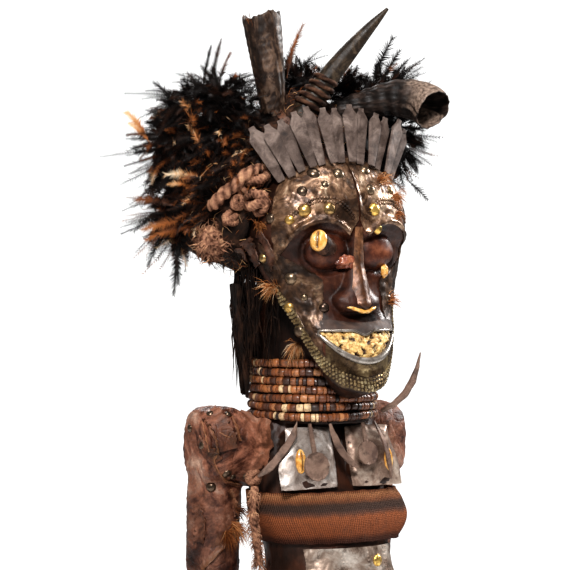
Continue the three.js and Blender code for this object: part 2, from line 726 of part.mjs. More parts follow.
const fanFrom = -70;
const fanTo = 62;
const fanLean = 0.0085; // sideways lean per step of distance from the middle line
const fanBack = 0.17;
const bladeLayerGap = 1.7; // every second blade stands this much in front of its neighbours

const fanCurve = new THREE.CatmullRomCurve3(Array.from({ length: 12 }, (_, i) => {
  const turn = mix(fanFrom, fanTo, i / 11);
  return headPoint(turn, along(hairline, Math.abs(turn)), sheetLift + sheetThickness + bladeThickness / 2);
}));

function bladePlace(index) {
  const share = index / (bladeCount - 1);
  const tangent = fanCurve.getTangentAt(share);
  const root = fanCurve.getPointAt(share);
  const up = new THREE.Vector3((root.x / unit) * fanLean, fanBack, 1).normalize();
  const facing = tangent.cross(up).normalize();
  root.addScaledVector(facing, (index % 2) * (bladeThickness + bladeLayerGap));
  const side = new THREE.Vector3().crossVectors(up, facing);
  return new THREE.Matrix4().makeBasis(side, up, facing).setPosition(root);
}

function blade(index, extra = 0) {
  const length = bladeLength * (1 - 0.1 * Math.abs(Math.sin(index * 2.3))) + extra;
  const geometry = new THREE.ExtrudeGeometry(bladeOutline(length), {
    depth: bladeThickness + 2 * extra, bevelEnabled: false });
  return solidOf(geometry.translate(0, 0, -bladeThickness / 2 - extra).applyMatrix4(bladePlace(index)));
}

const bladeNumbers = Array.from({ length: bladeCount }, (_, i) => i);
const bladeRoom = join(bladeNumbers.map((i) => blade(i, fitGap)));
const platedSkull = headBlock(2 * fitGap + sheetThickness + capEase, 12);
const capBody = mainBody(cut(cap(0), platedSkull, hornRoom, bladeRoom));
const capRoom = cap(fitGap);

const featherDroop = 9; // how far each tip sinks
const featherTurn = -33 * degree; // which way their flat sides lie

// A bundle of feathers: leaf-shaped blades that spread from a knob sitting on the cap.
function featherBundle({ middle, radius, way, spread, count, length, seed }) {
  const main = way.clone().normalize();
  const side = new THREE.Vector3(0, 0, 1).cross(main).normalize();
  const up = new THREE.Vector3().crossVectors(main, side);
  const flat = new THREE.Vector3(Math.cos(featherTurn), Math.sin(featherTurn), 0);
  const blades = [];
  for (let i = 0; i < count; i++) {
    const lean = Math.sqrt((i + 0.5) / count) * spread * degree;
    const turn = (i + seed) * 137.5 * degree;
    const dir = main.clone().multiplyScalar(Math.cos(lean))
      .addScaledVector(side, Math.sin(lean) * Math.cos(turn))
      .addScaledVector(up, Math.sin(lean) * Math.sin(turn));
    const reach = radius + length * (0.8 + 0.2 * Math.sin(i * 1.7 + seed));
    const path = [0.35, 0.7, 1].map((share) => middle.clone().addScaledVector(dir, reach * share));
    path[2].z -= featherDroop;
    blades.push(limb(path, {
      wide: (t) => (featherWidth / 2) * along([[0, 0.6], [0.5, 1], [1, 0.12]], t),
      deep: (t) => (featherThickness / 2) * along([[0, 1], [1, 0.4]], t),
      across: flat.clone().setZ(0.2 * Math.sin(i)).projectOnPlane(dir),
      sides: 3,
      steps: 2,
    }));
  }
  const knob = ball(middle, [radius, radius * 0.8, radius], main, 6, 4);
  return cut(join(knob, blades), capRoom, headRoom, hornRoom, bladeRoom);
}

const bundles = {
  feathers_right: { middle: at(-106, 62, 720), radius: 48, way: new THREE.Vector3(-0.8, 0.1, 0.5),
    spread: 96, count: 11, length: 41, seed: 1 },
  feathers_nape: { middle: at(-104, 98, 640), radius: 36, way: new THREE.Vector3(-0.7, 0.6, -0.4),
    spread: 80, count: 7, length: 38, seed: 8 },
  feathers_back: { middle: at(6, 114, 704), radius: 40, way: new THREE.Vector3(0.2, 1, 0.3), spread: 76,
    count: 7, length: 38, seed: 5 },
  feathers_left: { middle: at(84, 34, 730), radius: 36, way: new THREE.Vector3(0.8, 0.15, 0.5), spread: 92,
    count: 8, length: 46, seed: 3 },
  feathers_top: { middle: at(2, 62, 776), radius: 22, way: new THREE.Vector3(0.15, 0.1, 1), spread: 78,
    count: 7, length: 42, seed: 6 },
};

// Fringe of loose fibre hanging behind the neck
function fringe() {
  const [top, bottom] = [576, 462];
  const curtain = sheet(10, 2, (u, v, out) => {
    const turn = mix(112, 262, u) * degree;
    const inner = strandRing + beadRadius + 1 + 10 * unit * v;
    const reach = inner + (out ? fringeThickness : 0);
    const tooth = v === 0 ? (Math.round(u * 10) % 2) * 9 : 0;
    return new THREE.Vector3(reach * Math.sin(turn), neckMiddle - reach * Math.cos(turn),
      level(mix(bottom + tooth, top, v)));
  });
  return mainBody(cut(curtain, headRoom, bodyRoom, capRoom));
}

// Iron pendants under the lowest string of beads
function tongue(path, halfWidth, across) {
  return limb(path.map((p) => at(...p)), {
    wide: (t) => halfWidth * along([[0, 0.35], [0.35, 1], [0.8, 0.85], [1, 0.35]], t),
    deep: () => pendantThickness / 2,
    across: new THREE.Vector3(...across),
    sides: 4,
    steps: 5,
  });
}

function spade(top, middle, radius) {
  const stem = limb([at(...top), at(...middle)], {
    wide: (t) => mix(2.4, 4, t),
    deep: () => pendantThickness / 2,
    sides: 4,
    steps: 1,
  });
  const round = new THREE.CylinderGeometry(radius, radius, pendantThickness, 12);
  const lean = new THREE.Matrix4().makeRotationX(-8 * degree).setPosition(at(...middle));
  return join(stem, solidOf(round.applyMatrix4(lean)));
}

const platedBreasts = join(bothSides.map((side) => breast(side, sheetLift + sheetThickness + fitGap)));
const besideTrunk = (piece) => mainBody(cut(piece, bodyRoom, platedBreasts));

const pendants = {
  pendant_tongue_1: () => tongue([[-52, -11, 439], [-62, -22, 418], [-76, -24, 400], [-90, -17, 389]],
    5.8, [0.8, -0.5, 0.4]),
  pendant_spade_1: () => spade([-38, -29, 439], [-38, -42, 398], discRadius),
  pendant_tongue_2: () => tongue([[-20, -38, 439], [-17, -43, 424], [-8, -46, 408], [7, -46, 396]],
    5.8, [1, 0, 0.3]),
  pendant_spade_2: () => spade([19, -38, 439], [22, -43, 409], discRadius * 0.83),
  pendant_tongue_3: () => tongue([[41, -27, 439], [44, -40, 420], [48, -43, 400], [52, -41, 384]],
    4.6, [1, 0.3, 0]),
};

function hook() {
  const path = [[44, -35, 449], [58, -44, 459], [71, -52, 480], [77, -56, 508]].map((p) => at(...p));
  return limb(path, {
    wide: (t) => hookRadius * along([[0, 0.7], [0.5, 1], [1, 0.2]], t), sides: 6, steps: 5 });
}

// Woven band around the chest, under both arms, with its end folded in on the figure's left side
const bandLift = fitGap + 0.5;
const bandFold = (turn) => 13 * Math.exp(-(((turn - 62) / 21) ** 2));

function band(grow) {
  const outer = bandLevels.map((h, row) => Array.from({ length: trunkSides }, (_, i) => {
    const turn = (i / trunkSides) * 360;
    const swell = bandFold(turn) + (row === 1 ? 1.2 : 0);
    const p = trunkPoint(turn, h, bandLift + bandThickness + swell + grow);
    p.z += (row - 1) * grow;
    return p;
  }));
  const inner = bandLevels.map((h, row) => trunkRing(h, bandLift - grow).map((p) => {
    p.z += (row - 1) * (grow + 1);
    return p;
  }));
  return cut(loft(outer), loft(inner));
}

// Hide nailed round each shoulder and upper arm
const hideBottom = 268;
const hideInner = 50;

function sleeve(side) {
  const thick = fitGap + hideThickness;
  const whole = join(yoke(thick), arm(side, thick));
  const kept = [side * hideInner, side * 200].sort((a, b) => a - b);
  const window = block(at(kept[0], -40, hideBottom), at(kept[1], 140, 480));
  return mainBody(cut(whole.intersect(window), bodyRoom, headRoom, beadChannel(0), band(fitGap)));
}

// Twisted bark-fibre cord tied at the right armpit, its frayed end hanging free
const knotMiddle = at(-84, 2, 386);
const cordStart = knotMiddle.clone().add(new THREE.Vector3(0, -4, -knotRadius - 0.4));
// its route, as steps from there: 78 long
const cordRoute = [[0, 0, 0], [-0.9, -0.1, -5], [-1.8, -0.2, -10], [-2.5, -0.4, -15], [-2.9, -0.5, -20],
  [-3, -0.7, -26], [-2.7, -0.8, -31], [-2.2, -0.9, -36], [-1.4, -1.1, -42], [-0.6, -1.2, -47], [0.4, -1.4, -52],
  [1.3, -1.5, -57], [2.1, -1.6, -62], [2.6, -1.8, -67], [2.9, -1.9, -72], [2.9, -2, -77.6]];

function cord() {
  const path = cordRoute.map((step) => cordStart.clone().add(new THREE.Vector3(...step)));
  return limb(path, { wide: () => cordRadius, sides: 8, steps: 6 });
}

const cordRoom = limb([0.3, -9].map((drop) => cordStart.clone().add(new THREE.Vector3(0, 0, drop))),
  { wide: () => cordRadius + fitGap, sides: 6, steps: 1 });
const knotBall = ball(knotMiddle, [knotRadius, knotRadius, knotRadius * 1.05], undefined, 6, 4);
const knot = () => mainBody(cut(knotBall, bodyRoom, cordRoom));

// Finishes
const finish = (color, roughness, metalness = 0) => new THREE.MeshStandardMaterial({
  color, roughness, metalness });
const oldWood = finish(0x3a241a, 0.5);
const sheetCopper = finish(0x5f4334, 0.4, 0.7);
const sheetIron = finish(0x8d837c, 0.42, 0.7);
const forgedIron = finish(0x6a5a55, 0.75, 0.4);
const hornFinish = finish(0x3b302a, 0.5);
const fibre = finish(0x5c4331, 0.95);
const featherBlack = finish(0x17110f, 0.8);
const beadShell = finish(0x7a4728, 0.45);
const wovenBand = finish(0x8a4d33, 0.95);
const hide = finish(0x5d3325, 0.7);
const goldShell = finish(0xc48a35, 0.35);
const resinGold = finish(0xd2ab62, 0.6);

const figure = new THREE.Group();

function add(name, solid, material) {
  const made = solid.getMesh();
  const geometry = new THREE.BufferGeometry();
  geometry.setAttribute('position', new THREE.BufferAttribute(made.vertProperties, 3));
  geometry.setIndex(new THREE.BufferAttribute(made.triVerts, 1));
  geometry.computeVertexNormals();
  const mesh = new THREE.Mesh(geometry, material);
  mesh.name = name;
  figure.add(mesh);
}

add('carved_figure', wood, oldWood);
add('forehead_plate_right', foreheadPlate(-1), sheetCopper);
add('forehead_plate_left', foreheadPlate(1), sheetCopper);
add('cheek_plate_right', cheekPlate(-1), sheetCopper);
add('cheek_plate_left', cheekPlate(1), sheetCopper);
add('nose_strip', noseStrip(), sheetCopper);
add('upper_lip_plate', upperLipPlate(), sheetIron);
add('lower_lip_rim', lowerLipRim(), sheetIron);
add('beard_plate', beardPlate(), sheetCopper);
add('mouth_packing', mouthPacking(), resinGold);
add('eye_tube_right', eyeTube(), hornFinish);
add('eye_shell_right', shell(tubeEnd, tubeWay, eyeTubeRadius * 0.88), goldShell);
add('eye_resin_right', mainBody(cut(resinBall, headRoom)), resinGold);
add('eye_shell_left', mainBody(cut(leftShellBall, headRoom)), goldShell);
add('breast_plate_right', breastPlate(-1), sheetIron);
add('breast_plate_left', breastPlate(1), sheetIron);
add('belly_plate', bellyPlate(), sheetIron);
bladeNumbers.forEach((i) => add(`iron_blade_${i + 1}`, mainBody(cut(blade(i), headRoom)), forgedIron));
add('upright_horn', openHorn(uprightPath, uprightRadius, 5), hornFinish);
add('slender_horn', mainBody(cut(horn(slenderPath, slenderRadius, 0, 5), headRoom)), hornFinish);
add('open_horn', openHorn(openPath, openRadius, 6), hornFinish);
add('fibre_cap', capBody, fibre);
// Bundles share the room around the cap, so each one makes way for those tied on before it.
Object.entries(bundles).reduce((tied, [name, bundle]) => {
  const own = mainBody(tied.length ? cut(featherBundle(bundle), tied) : featherBundle(bundle));
  add(name, own, featherBlack);
  return tied.concat(own);
}, []);
add('nape_fringe', fringe(), fibre);
for (let i = 0; i < strandCount; i++) {
  const ring = new THREE.TorusGeometry(strandRing, beadRadius, 3, strandSides);
  add(`bead_strand_${i + 1}`, solidOf(ring.translate(0, neckMiddle, strandHeight(i))), beadShell);
}
Object.entries(pendants).forEach(([name, make]) => add(name, besideTrunk(make()), forgedIron));
add('iron_hook', hook(), forgedIron);
add('chest_band', mainBody(cut(band(0), platedBreasts)), wovenBand);
add('hide_sleeve_right', sleeve(-1), hide);
add('hide_sleeve_left', sleeve(1), hide);
add('armpit_knot', knot(), fibre);
add('armpit_cord', cord(), fibre);

export default figure;
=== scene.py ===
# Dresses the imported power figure: carved wood, sheet metal, iron, horns, feathers, fibre, beads and hide.
# Lengths are in millimetres up to where a mesh is made. The figure's own right is -x.
import bpy
import math
import random
import numpy as np
from mathutils import Vector, Matrix, noise


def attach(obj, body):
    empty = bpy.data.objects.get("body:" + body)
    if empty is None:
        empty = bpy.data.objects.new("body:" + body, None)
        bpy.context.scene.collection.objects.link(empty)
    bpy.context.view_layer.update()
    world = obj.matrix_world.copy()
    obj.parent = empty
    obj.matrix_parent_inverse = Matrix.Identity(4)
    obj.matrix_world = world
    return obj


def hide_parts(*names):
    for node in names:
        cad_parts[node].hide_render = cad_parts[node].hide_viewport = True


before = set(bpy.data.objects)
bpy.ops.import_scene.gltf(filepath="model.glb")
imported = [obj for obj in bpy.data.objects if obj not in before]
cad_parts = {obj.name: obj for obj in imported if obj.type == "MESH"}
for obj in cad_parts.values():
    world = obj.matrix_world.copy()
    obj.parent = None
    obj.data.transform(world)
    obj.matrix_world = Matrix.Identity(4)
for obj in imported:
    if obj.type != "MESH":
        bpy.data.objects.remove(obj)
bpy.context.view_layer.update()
print("frame loaded")

mm = 0.001
baseHeight = 60

view = {
    "turn": -33,  # degrees from straight ahead
    "target": (-0.0336, 0.0218, 0.635),
    "distance": 2.2,
    "field": 0.570,  # height that the frame covers at the figure
}
turnView = math.radians(view["turn"])
camWay = Vector((math.sin(turnView), -math.cos(turnView), 0))
bpy.ops.object.camera_add()
camera = bpy.context.object
camera.name = "photo_camera"
camera.data.angle = 2 * math.atan(view["field"] / 2 / view["distance"])
camera.location = Vector(view["target"]) + camWay * view["distance"]
camera.rotation_euler = (-camWay).to_track_quat("-Z", "Y").to_euler()
camera.data.clip_end = 50
bpy.context.scene.camera = camera


def added(operator, name="part", **settings):
    # a primitive, ready to be shaped
    bpy.ops.object.select_all(action="DESELECT")
    operator(**settings)
    bpy.context.object.name = name
    return bpy.context.object


def pick(obj):
    bpy.ops.object.select_all(action="DESELECT")
    obj.select_set(True)
    bpy.context.view_layer.objects.active = obj


def modify(obj, kind, **settings):
    pick(obj)
    changer = obj.modifiers.new(kind.lower(), kind)
    for key, value in settings.items():
        setattr(changer, key, value)
    bpy.ops.object.modifier_apply(modifier=changer.name)


def edited(obj, operator, **settings):
    # one mesh operator on the whole of a piece
    pick(obj)
    bpy.ops.object.mode_set(mode="EDIT")
    bpy.ops.mesh.select_all(action="SELECT")
    operator(**settings)
    bpy.ops.object.mode_set(mode="OBJECT")


def outward(obj):
    edited(obj, bpy.ops.mesh.normals_make_consistent, inside=False)


def remesh(obj, size):
    pick(obj)
    obj.data.remesh_voxel_size = size * mm
    bpy.ops.object.voxel_remesh()


def smooth(obj, angle=None):
    pick(obj)
    if angle is None:
        bpy.ops.object.shade_smooth()
    else:
        bpy.ops.object.shade_smooth_by_angle(angle=math.radians(angle))


def joined(objs, name):
    pick(objs[0])
    for obj in objs:
        obj.select_set(True)
    if len(objs) > 1:
        bpy.ops.object.join()
    objs[0].name = name
    return objs[0]


def place(obj, material, slotName, *nodes):
    # gives a finished piece its material, hangs it from the root body and hides the frame's solids that it
    # stands for
    obj.data.materials.clear()
    obj.data.materials.append(material)
    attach(obj, "root")
    if nodes:
        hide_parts(*nodes)
    return obj


def setShade(obj, values):
    # a value at each point, which the materials read
    layer = obj.data.attributes.get("shade") or obj.data.attributes.new("shade", "FLOAT", "POINT")
    layer.data.foreach_set("value", np.asarray(values, np.float32))


def linked(name, mesh):
    obj = bpy.data.objects.new(name, mesh)
    bpy.context.scene.collection.objects.link(obj)
    return obj


def meshFrom(name, points, faces, shade=None):
    mesh = bpy.data.meshes.new(name)
    rows = np.asarray(points, float).reshape(-1, 3) * mm
    mesh.from_pydata([tuple(p) for p in rows.tolist()], [], [list(f) for f in faces])
    mesh.update()
    obj = linked(name, mesh)
    if shade is not None:
        setShade(obj, shade)
    return obj


def copyOf(node, name):
    # a copy of one of the frame's solids, its doubled points merged
    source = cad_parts[node]
    obj = linked(name, source.data.copy())
    obj.matrix_world = source.matrix_world
    edited(obj, bpy.ops.mesh.remove_doubles, threshold=0.01 * mm)
    return obj


def perPoint(obj, what):
    flat = np.empty(len(obj.data.vertices) * 3)
    obj.data.vertices.foreach_get(what, flat)
    return flat.reshape(-1, 3)


def coords(obj, unit=mm):
    return perPoint(obj, "co") / unit


def setCoords(obj, points):
    obj.data.vertices.foreach_set("co", (np.asarray(points, float) * mm).ravel())
    obj.data.update()


def normals(obj):
    return perPoint(obj, "normal")


def triangles(obj):
    return sum(len(p.vertices) - 2 for p in obj.data.polygons)


def along(stations, where):
    # smooth value, at each place, of a table of (place, value) stations
    xs, ys = np.array(stations, float).T
    where = np.clip(np.asarray(where, float), xs[0], xs[-1])
    span = np.diff(xs)
    slope = np.diff(ys) / span
    tangent = np.concatenate(([slope[0]], np.zeros(len(xs) - 2), [slope[-1]]))
    product = slope[:-1] * slope[1:]
    total = np.where(product > 0, slope[:-1] + slope[1:], 1)
    tangent[1:-1] = np.where(product > 0, 2 * product / total, 0)
    i = np.clip(np.searchsorted(xs, where, side="right") - 1, 0, len(span) - 1)
    t = (where - xs[i]) / span[i]
    rise = ys[i + 1] - ys[i]
    return (ys[i] + rise * t * t * (3 - 2 * t) + tangent[i] * span[i] * t * (1 - t) ** 2
            + tangent[i + 1] * span[i] * t * t * (t - 1))


def power(value, exponent):
    return np.sign(value) * np.abs(value) ** exponent


def ease(value, low, high):
    t = np.clip((np.asarray(value, float) - low) / (high - low), 0, 1)
    return t * t * (3 - 2 * t)


def bell(value, middle, width):
    return np.exp(-((value - middle) / width) ** 2)


def grain(points, scale, seed):
    # smooth noise, -1 to 1, with lumps about `scale` across
    return np.array([noise.noise(p) for p in (np.asarray(points) / scale + seed).tolist()])


def unitRows(rows):
    return rows / np.maximum(np.linalg.norm(rows, axis=1, keepdims=True), 1e-12)


def runOf(line):
    # length of a line of points up to each of them
    return np.concatenate(([0], np.cumsum(np.linalg.norm(np.diff(line, axis=0), axis=1))))


def smoothPath(points, shares):
    # points on a curve through the given ones, spaced by shares of its length
    pts = np.array(points, float)
    pts = np.vstack([2 * pts[0] - pts[1], pts, 2 * pts[-1] - pts[-2]])
    dense = []
    for i in range(1, len(pts) - 2):
        a, b, c, d = pts[i - 1:i + 3]
        for t in np.linspace(0, 1, 16, endpoint=False):
            dense.append(0.5 * (2 * b + (c - a) * t + (2 * a - 5 * b + 4 * c - d) * t ** 2
                                + (3 * b - a - 3 * c + d) * t ** 3))
    dense = np.array(dense + [pts[-2]])
    length = runOf(dense)
    wanted = np.asarray(shares, float) * length[-1]
    return np.stack([np.interp(wanted, length, dense[:, k]) for k in range(3)], axis=1)


def ringTurns(sides):
    return (np.arange(sides) + 0.5) / sides * 2 * np.pi


def tubeRings(points, wide, deep=None, across=(1, 0, 0), sides=16, steps=24, square=2, relief=None):
    # rings of points round a curve; wide and deep are radii by share of its length, relief(turn, share) adds to
    # them
    shares = np.linspace(0, 1, steps + 1)
    middle = smoothPath(points, shares)
    tangent = unitRows(np.gradient(middle, axis=0))
    side = unitRows(np.array(across, float) - (tangent @ np.array(across, float))[:, None] * tangent)
    up = np.cross(tangent, side)
    turn = ringTurns(sides)
    rings = []
    for i, t in enumerate(shares):
        grow = relief(turn, t) if relief else 0
        rings.append(middle[i] + ((wide(t) + grow) * power(np.cos(turn), 2 / square))[:, None] * side[i]
                     + (((deep or wide)(t) + grow) * power(np.sin(turn), 2 / square))[:, None] * up[i])
    return np.array(rings)


def stripFaces(rows, columns, closed=False):
    # the faces of a grid of points; a closed one runs round
    return [(i * columns + j, i * columns + (j + 1) % columns, (i + 1) * columns + (j + 1) % columns,
             (i + 1) * columns + j) for i in range(rows - 1) for j in range(columns if closed else columns - 1)]


def loft(name, rings):
    # a closed body through rings of points
    rows, sides = rings.shape[:2]
    faces = stripFaces(rows, sides, True)
    faces += [tuple(range(sides))[::-1], tuple(range((rows - 1) * sides, rows * sides))]
    obj = meshFrom(name, rings, faces)
    outward(obj)
    return obj


def template(obj):
    # takes a modelled object's mesh out of the scene, to be copied many times
    shape = coords(obj), [tuple(p.vertices) for p in obj.data.polygons]
    bpy.data.objects.remove(obj)
    return shape


def copies(name, shape, places, shades=None):
    # one mesh that holds a copy of the template at each 4 x 4 place
    points, faces = shape
    count = len(points)
    whole = np.hstack([points, np.ones((count, 1))])
    allPoints = [(whole @ np.array(p, float).T)[:, :3] for p in places]
    allFaces = [tuple(v + k * count for v in face) for k in range(len(places)) for face in faces]
    return meshFrom(name, np.vstack(allPoints), allFaces, None if shades is None else np.repeat(shades, count))


def frameAt(point, out, scale, spin=0.0):
    # 4 x 4 place with its z axis along out; scale is one size or three
    z = Vector(out).normalized()
    x = Vector((0, 0, 1)).cross(z)
    x = x.normalized() if x.length > 1e-4 else Vector((1, 0, 0))
    turned = Matrix((x, z.cross(x), z)).transposed().to_4x4() @ Matrix.Rotation(spin, 4, "Z")
    sizes = scale if hasattr(scale, "__len__") else (scale,) * 3
    return Matrix.Translation(Vector(point)) @ turned @ Matrix.Diagonal((*sizes, 1))


def scatter(chance, spread=1.0):
    return Vector([chance.gauss(0, spread) for _ in range(3)])


def hairs(name, bases, bends, tips, shades, radii):
    # thin closed hairs from base to tip; where there are bends, each has a knee at its own
    bases, tips = np.asarray(bases, float), np.asarray(tips, float)
    radii = np.broadcast_to(np.asarray(radii, float), len(bases))[:, None]
    way = unitRows(tips - bases)
    side = unitRows(np.cross(way, np.where(np.abs(way[:, 2:3]) > 0.9, [[1.0, 0, 0]], [[0, 0, 1.0]])))
    up = np.cross(way, side)
    corners = [(math.cos(a), math.sin(a)) for a in (0.5, 2.6, 4.7)]
    columns = [bases + radii * (c * side + s * up) for c, s in corners]
    if bends is not None:
        columns += [np.asarray(bends, float) + 0.75 * radii * (c * side + s * up) for c, s in corners]
    stacked = np.stack(columns + [tips], axis=1)
    size = stacked.shape[1]
    last = size - 4
    shape = [(0, 2, 1)]
    for k in range(0, last, 3):
        shape += [(k, k + 1, k + 4, k + 3), (k + 1, k + 2, k + 5, k + 4), (k + 2, k, k + 3, k + 5)]
    shape += [(last, last + 1, size - 1), (last + 1, last + 2, size - 1), (last + 2, last, size - 1)]
    faces = [tuple(v + n * size for v in face) for n in range(len(bases)) for face in shape]
    return meshFrom(name, stacked, faces, np.repeat(np.asarray(shades, float), size))


class Look:
    # a material in the making: each method adds nodes and gives their output
    def __init__(self, name, roughness=0.5, metallic=0.0, **sockets):
        self.material = bpy.data.materials.new(name)
        self.material.use_nodes = True
        self.tree = self.material.node_tree
        sockets = {"Roughness": roughness, "Metallic": metallic, **sockets}
        self.wire(self.tree.nodes["Principled BSDF"], {key.replace("_", " "): v for key, v in sockets.items()})

    def wire(self, made, inputs):
        for key, value in inputs.items():
            if isinstance(value, bpy.types.NodeSocket):
                self.tree.links.new(value, made.inputs[key])
            else:
                made.inputs[key].default_value = value
        return made

    def node(self, kind, inputs, **settings):
        made = self.tree.nodes.new("ShaderNode" + kind)
        for key, value in settings.items():
            setattr(made, key, value)
        return self.wire(made, inputs)

    def where(self, stretch=(1, 1, 1), turn=(0, 0, 0)):
        place = self.node("TexCoord", {}).outputs["Object"]
        return self.node("Mapping", {"Vector": place, "Scale": stretch, "Rotation": turn}).outputs["Vector"]

    def shade(self):
        return self.node("Attribute", {}, attribute_name="shade").outputs["Fac"]

    def noise(self, scale, detail=6.0, rough=0.55, distort=0.0, place=None):
        return self.node("TexNoise", {"Vector": place or self.where(), "Scale": scale, "Detail": detail,
                                      "Roughness": rough, "Distortion": distort}).outputs["Fac"]

    def cells(self, scale, **settings):
        return self.node("TexVoronoi", {"Vector": self.where(), "Scale": scale}, **settings).outputs["Distance"]

    def ramp(self, value, *stops):
        # a stop is its place and then one grey value or three of a colour
        made = self.node("ValToRGB", {"Fac": value})
        elements = made.color_ramp.elements
        while len(elements) < len(stops):
            elements.new(0.5)
        for element, (at, *colour) in zip(elements, stops):
            element.position = at
            element.color = (*(colour if len(colour) == 3 else colour * 3), 1)
        return made.outputs["Color"]

    def mix(self, share, first, second, blend="MIX"):
        first, second = [(*v, 1) if isinstance(v, tuple) else v for v in (first, second)]
        return self.node("Mix", {0: share, 6: first, 7: second}, data_type="RGBA", blend_type=blend).outputs[2]

    def darken(self, share, colour, value, low, dark, high):
        # a colour times a value that is `dark` below low and 1 above high
        return self.mix(share, colour, self.ramp(value, (low, dark), (high, 1.0)), "MULTIPLY")

    def stain(self, colour, value, low, high, share, dirt):
        return self.mix(self.ramp(value, (low, 0.0), (high, share)), colour, dirt)

    def calc(self, kind, first, second):
        return self.node("Math", {0: first, 1: second}, operation=kind).outputs[0]

    def finished(self, colour, rough=None, height=None, bump=0.3, distance=0.001):
        shader = self.tree.nodes["Principled BSDF"]
        inputs = {"Base Color": colour}
        if rough is not None:
            inputs["Roughness"] = rough
        if height is not None:
            relief = {"Height": height, "Strength": bump, "Distance": distance}
            inputs["Normal"] = self.node("Bump", relief).outputs["Normal"]
        self.wire(shader, inputs)
        return self.material


def fibreMaterial(name, *stops):
    # bark fibre: fine lines, darker in the hollows and lighter where shade is high
    look = Look(name, 0.8, Specular_IOR_Level=0.15)
    cloud = look.noise(70, 7, 0.65, 0.5)
    fine = look.noise(600, 5, 0.6, place=look.where((1, 1, 0.35)))
    # on the ropes, the cap and the nape mat the shade attribute is painted light on the crests and painted shade
    # in the hollows; on loose hairs and the fibre ball it is their own tone
    value = look.calc("ADD", look.calc("MULTIPLY", cloud, 0.95), look.calc("MULTIPLY", look.shade(), 0.22))
    colour = look.darken(0.55, look.ramp(value, *stops), fine, 0.3, 0.3, 0.7)
    return look.finished(colour, None, look.mix(0.6, cloud, fine), 0.7, 0.0015)


ropeFinish = fibreMaterial("bark_rope", (0.34, 0.014, 0.006, 0.004), (0.48, 0.11, 0.048, 0.029),
                           (0.62, 0.34, 0.17, 0.105), (0.8, 0.62, 0.35, 0.2))


def twistedTube(name, points, radius, lays, turns, steps, across=(1, 0, 0), sides=12):
    # rope: a tube whose section has as many lobes as the rope has strands, turned along its length
    def lobes(angle, t):
        return np.abs(np.cos(angle * lays / 2 + t * turns * 2 * np.pi * lays / 2))

    def relief(angle, t):
        return radius(t) * 0.24 * (lobes(angle, t) - 0.6) * min(1, t / 0.02, (1 - t) / 0.02)

    obj = loft(name, tubeRings(points, radius, None, across, sides, steps, relief=relief))
    t = np.linspace(0, 1, steps + 1)[:, None]
    # the strands' crests are painted lighter and the grooves between them darker: painted light and painted
    # shade
    setShade(obj, (lobes(ringTurns(sides), t) * 0.9 - 0.1).ravel())
    smooth(obj)
    return obj


# the cord tied at the right armpit: where it leaves its knot, and its route from there
cord = {
    "exit": (-84, -2, 438.1),
    "length": 78,
    "radius": 4.4,
    "route": [(0, 0, 0), (-0.9, -0.1, -5), (-1.8, -0.2, -10), (-2.5, -0.4, -15), (-2.9, -0.5, -20),
              (-3, -0.7, -26), (-2.7, -0.8, -31), (-2.2, -0.9, -36), (-1.4, -1.1, -42), (-0.6, -1.2, -47),
              (0.4, -1.4, -52), (1.3, -1.5, -57), (2.1, -1.6, -62), (2.6, -1.8, -67), (2.9, -1.9, -72),
              (2.9, -2, -77.6)],
    "endStrands": 70,
    "looseFibres": 380,
    "strandRadius": 0.45,
    "wholeTurn": 6.28,
}


def frayedEnd(route):
    # loose strands where the cord ends
    chance = random.Random(12)
    rows = []
    for _ in range(cord["endStrands"]):
        a, r = chance.uniform(0, cord["wholeTurn"]), chance.uniform(0, 3.6)
        start = route[-1] + (r * math.cos(a), r * math.sin(a), chance.uniform(0, 16))
        drop = chance.uniform(6, 15)
        out = chance.uniform(0.1, 0.55) * drop
        rows.append((start, start + (math.cos(a) * out * 0.6, math.sin(a) * out * 0.6, -drop * 0.45),
                     start + (math.cos(a) * out, math.sin(a) * out, -drop), chance.uniform(0, 0.9)))
    # and fibres that stand off it all the way down
    for _ in range(cord["looseFibres"]):
        k, a = chance.randrange(1, len(route)), chance.uniform(0, cord["wholeTurn"])
        way = np.array((math.cos(a), math.sin(a), chance.uniform(-1.2, 0.2)))
        start = route[k] + way * 3.2 + (0, 0, chance.uniform(-2.5, 2.5))
        run = chance.uniform(3, 8)
        rows.append((start, start + way * run * 0.5, start + way * run * 0.7 - (0, 0, run * 0.5),
                     chance.uniform(0.3, 1)))
    return hairs("cord_fray", *zip(*rows), cord["strandRadius"])


def armpitCord():
    route = np.array(cord["exit"]) + cord["route"]
    piece = twistedTube("armpit_rope", route, lambda t: cord["radius"] * (0.86 + 0.1 * math.sin(t * 19)),
                        3, 4.5, 90)
    fray = frayedEnd(route)
    place(piece, ropeFinish, "fibre", "armpit_cord")
    place(fray, ropeFinish, "fibre")


armpitCord()
print("cord ready")


def oldWoodMaterial():
    look = Look("old_wood_patina", Specular_IOR_Level=0.25)
    fibres = look.noise(260, 8, 0.6, place=look.where((1, 1, 0.08)))
    dust = look.noise(45, 7, 0.65)
    colour = look.ramp(look.noise(14, 5, 0.6, 0.6), (0.28, 0.006, 0.003, 0.002), (0.47, 0.024, 0.01, 0.006),
                       (0.62, 0.07, 0.025, 0.013), (0.8, 0.13, 0.055, 0.03))
    colour = look.darken(0.55, colour, fibres, 0.3, 0.25, 0.7)
    colour = look.stain(colour, dust, 0.58, 0.75, 0.25, (0.14, 0.085, 0.055))
    # the lids and eyeballs are rubbed red
    red = look.ramp(dust, (0.38, 0.012, 0.004, 0.003), (0.55, 0.085, 0.023, 0.011), (0.72, 0.24, 0.085, 0.042))
    colour = look.mix(look.shade(), colour, red)
    rough = look.ramp(look.noise(30, 6), (0.35, 0.3), (0.7, 0.62))
    return look.finished(colour, rough, look.mix(0.35, fibres, look.cells(55.0)), 0.55, 0.0014)


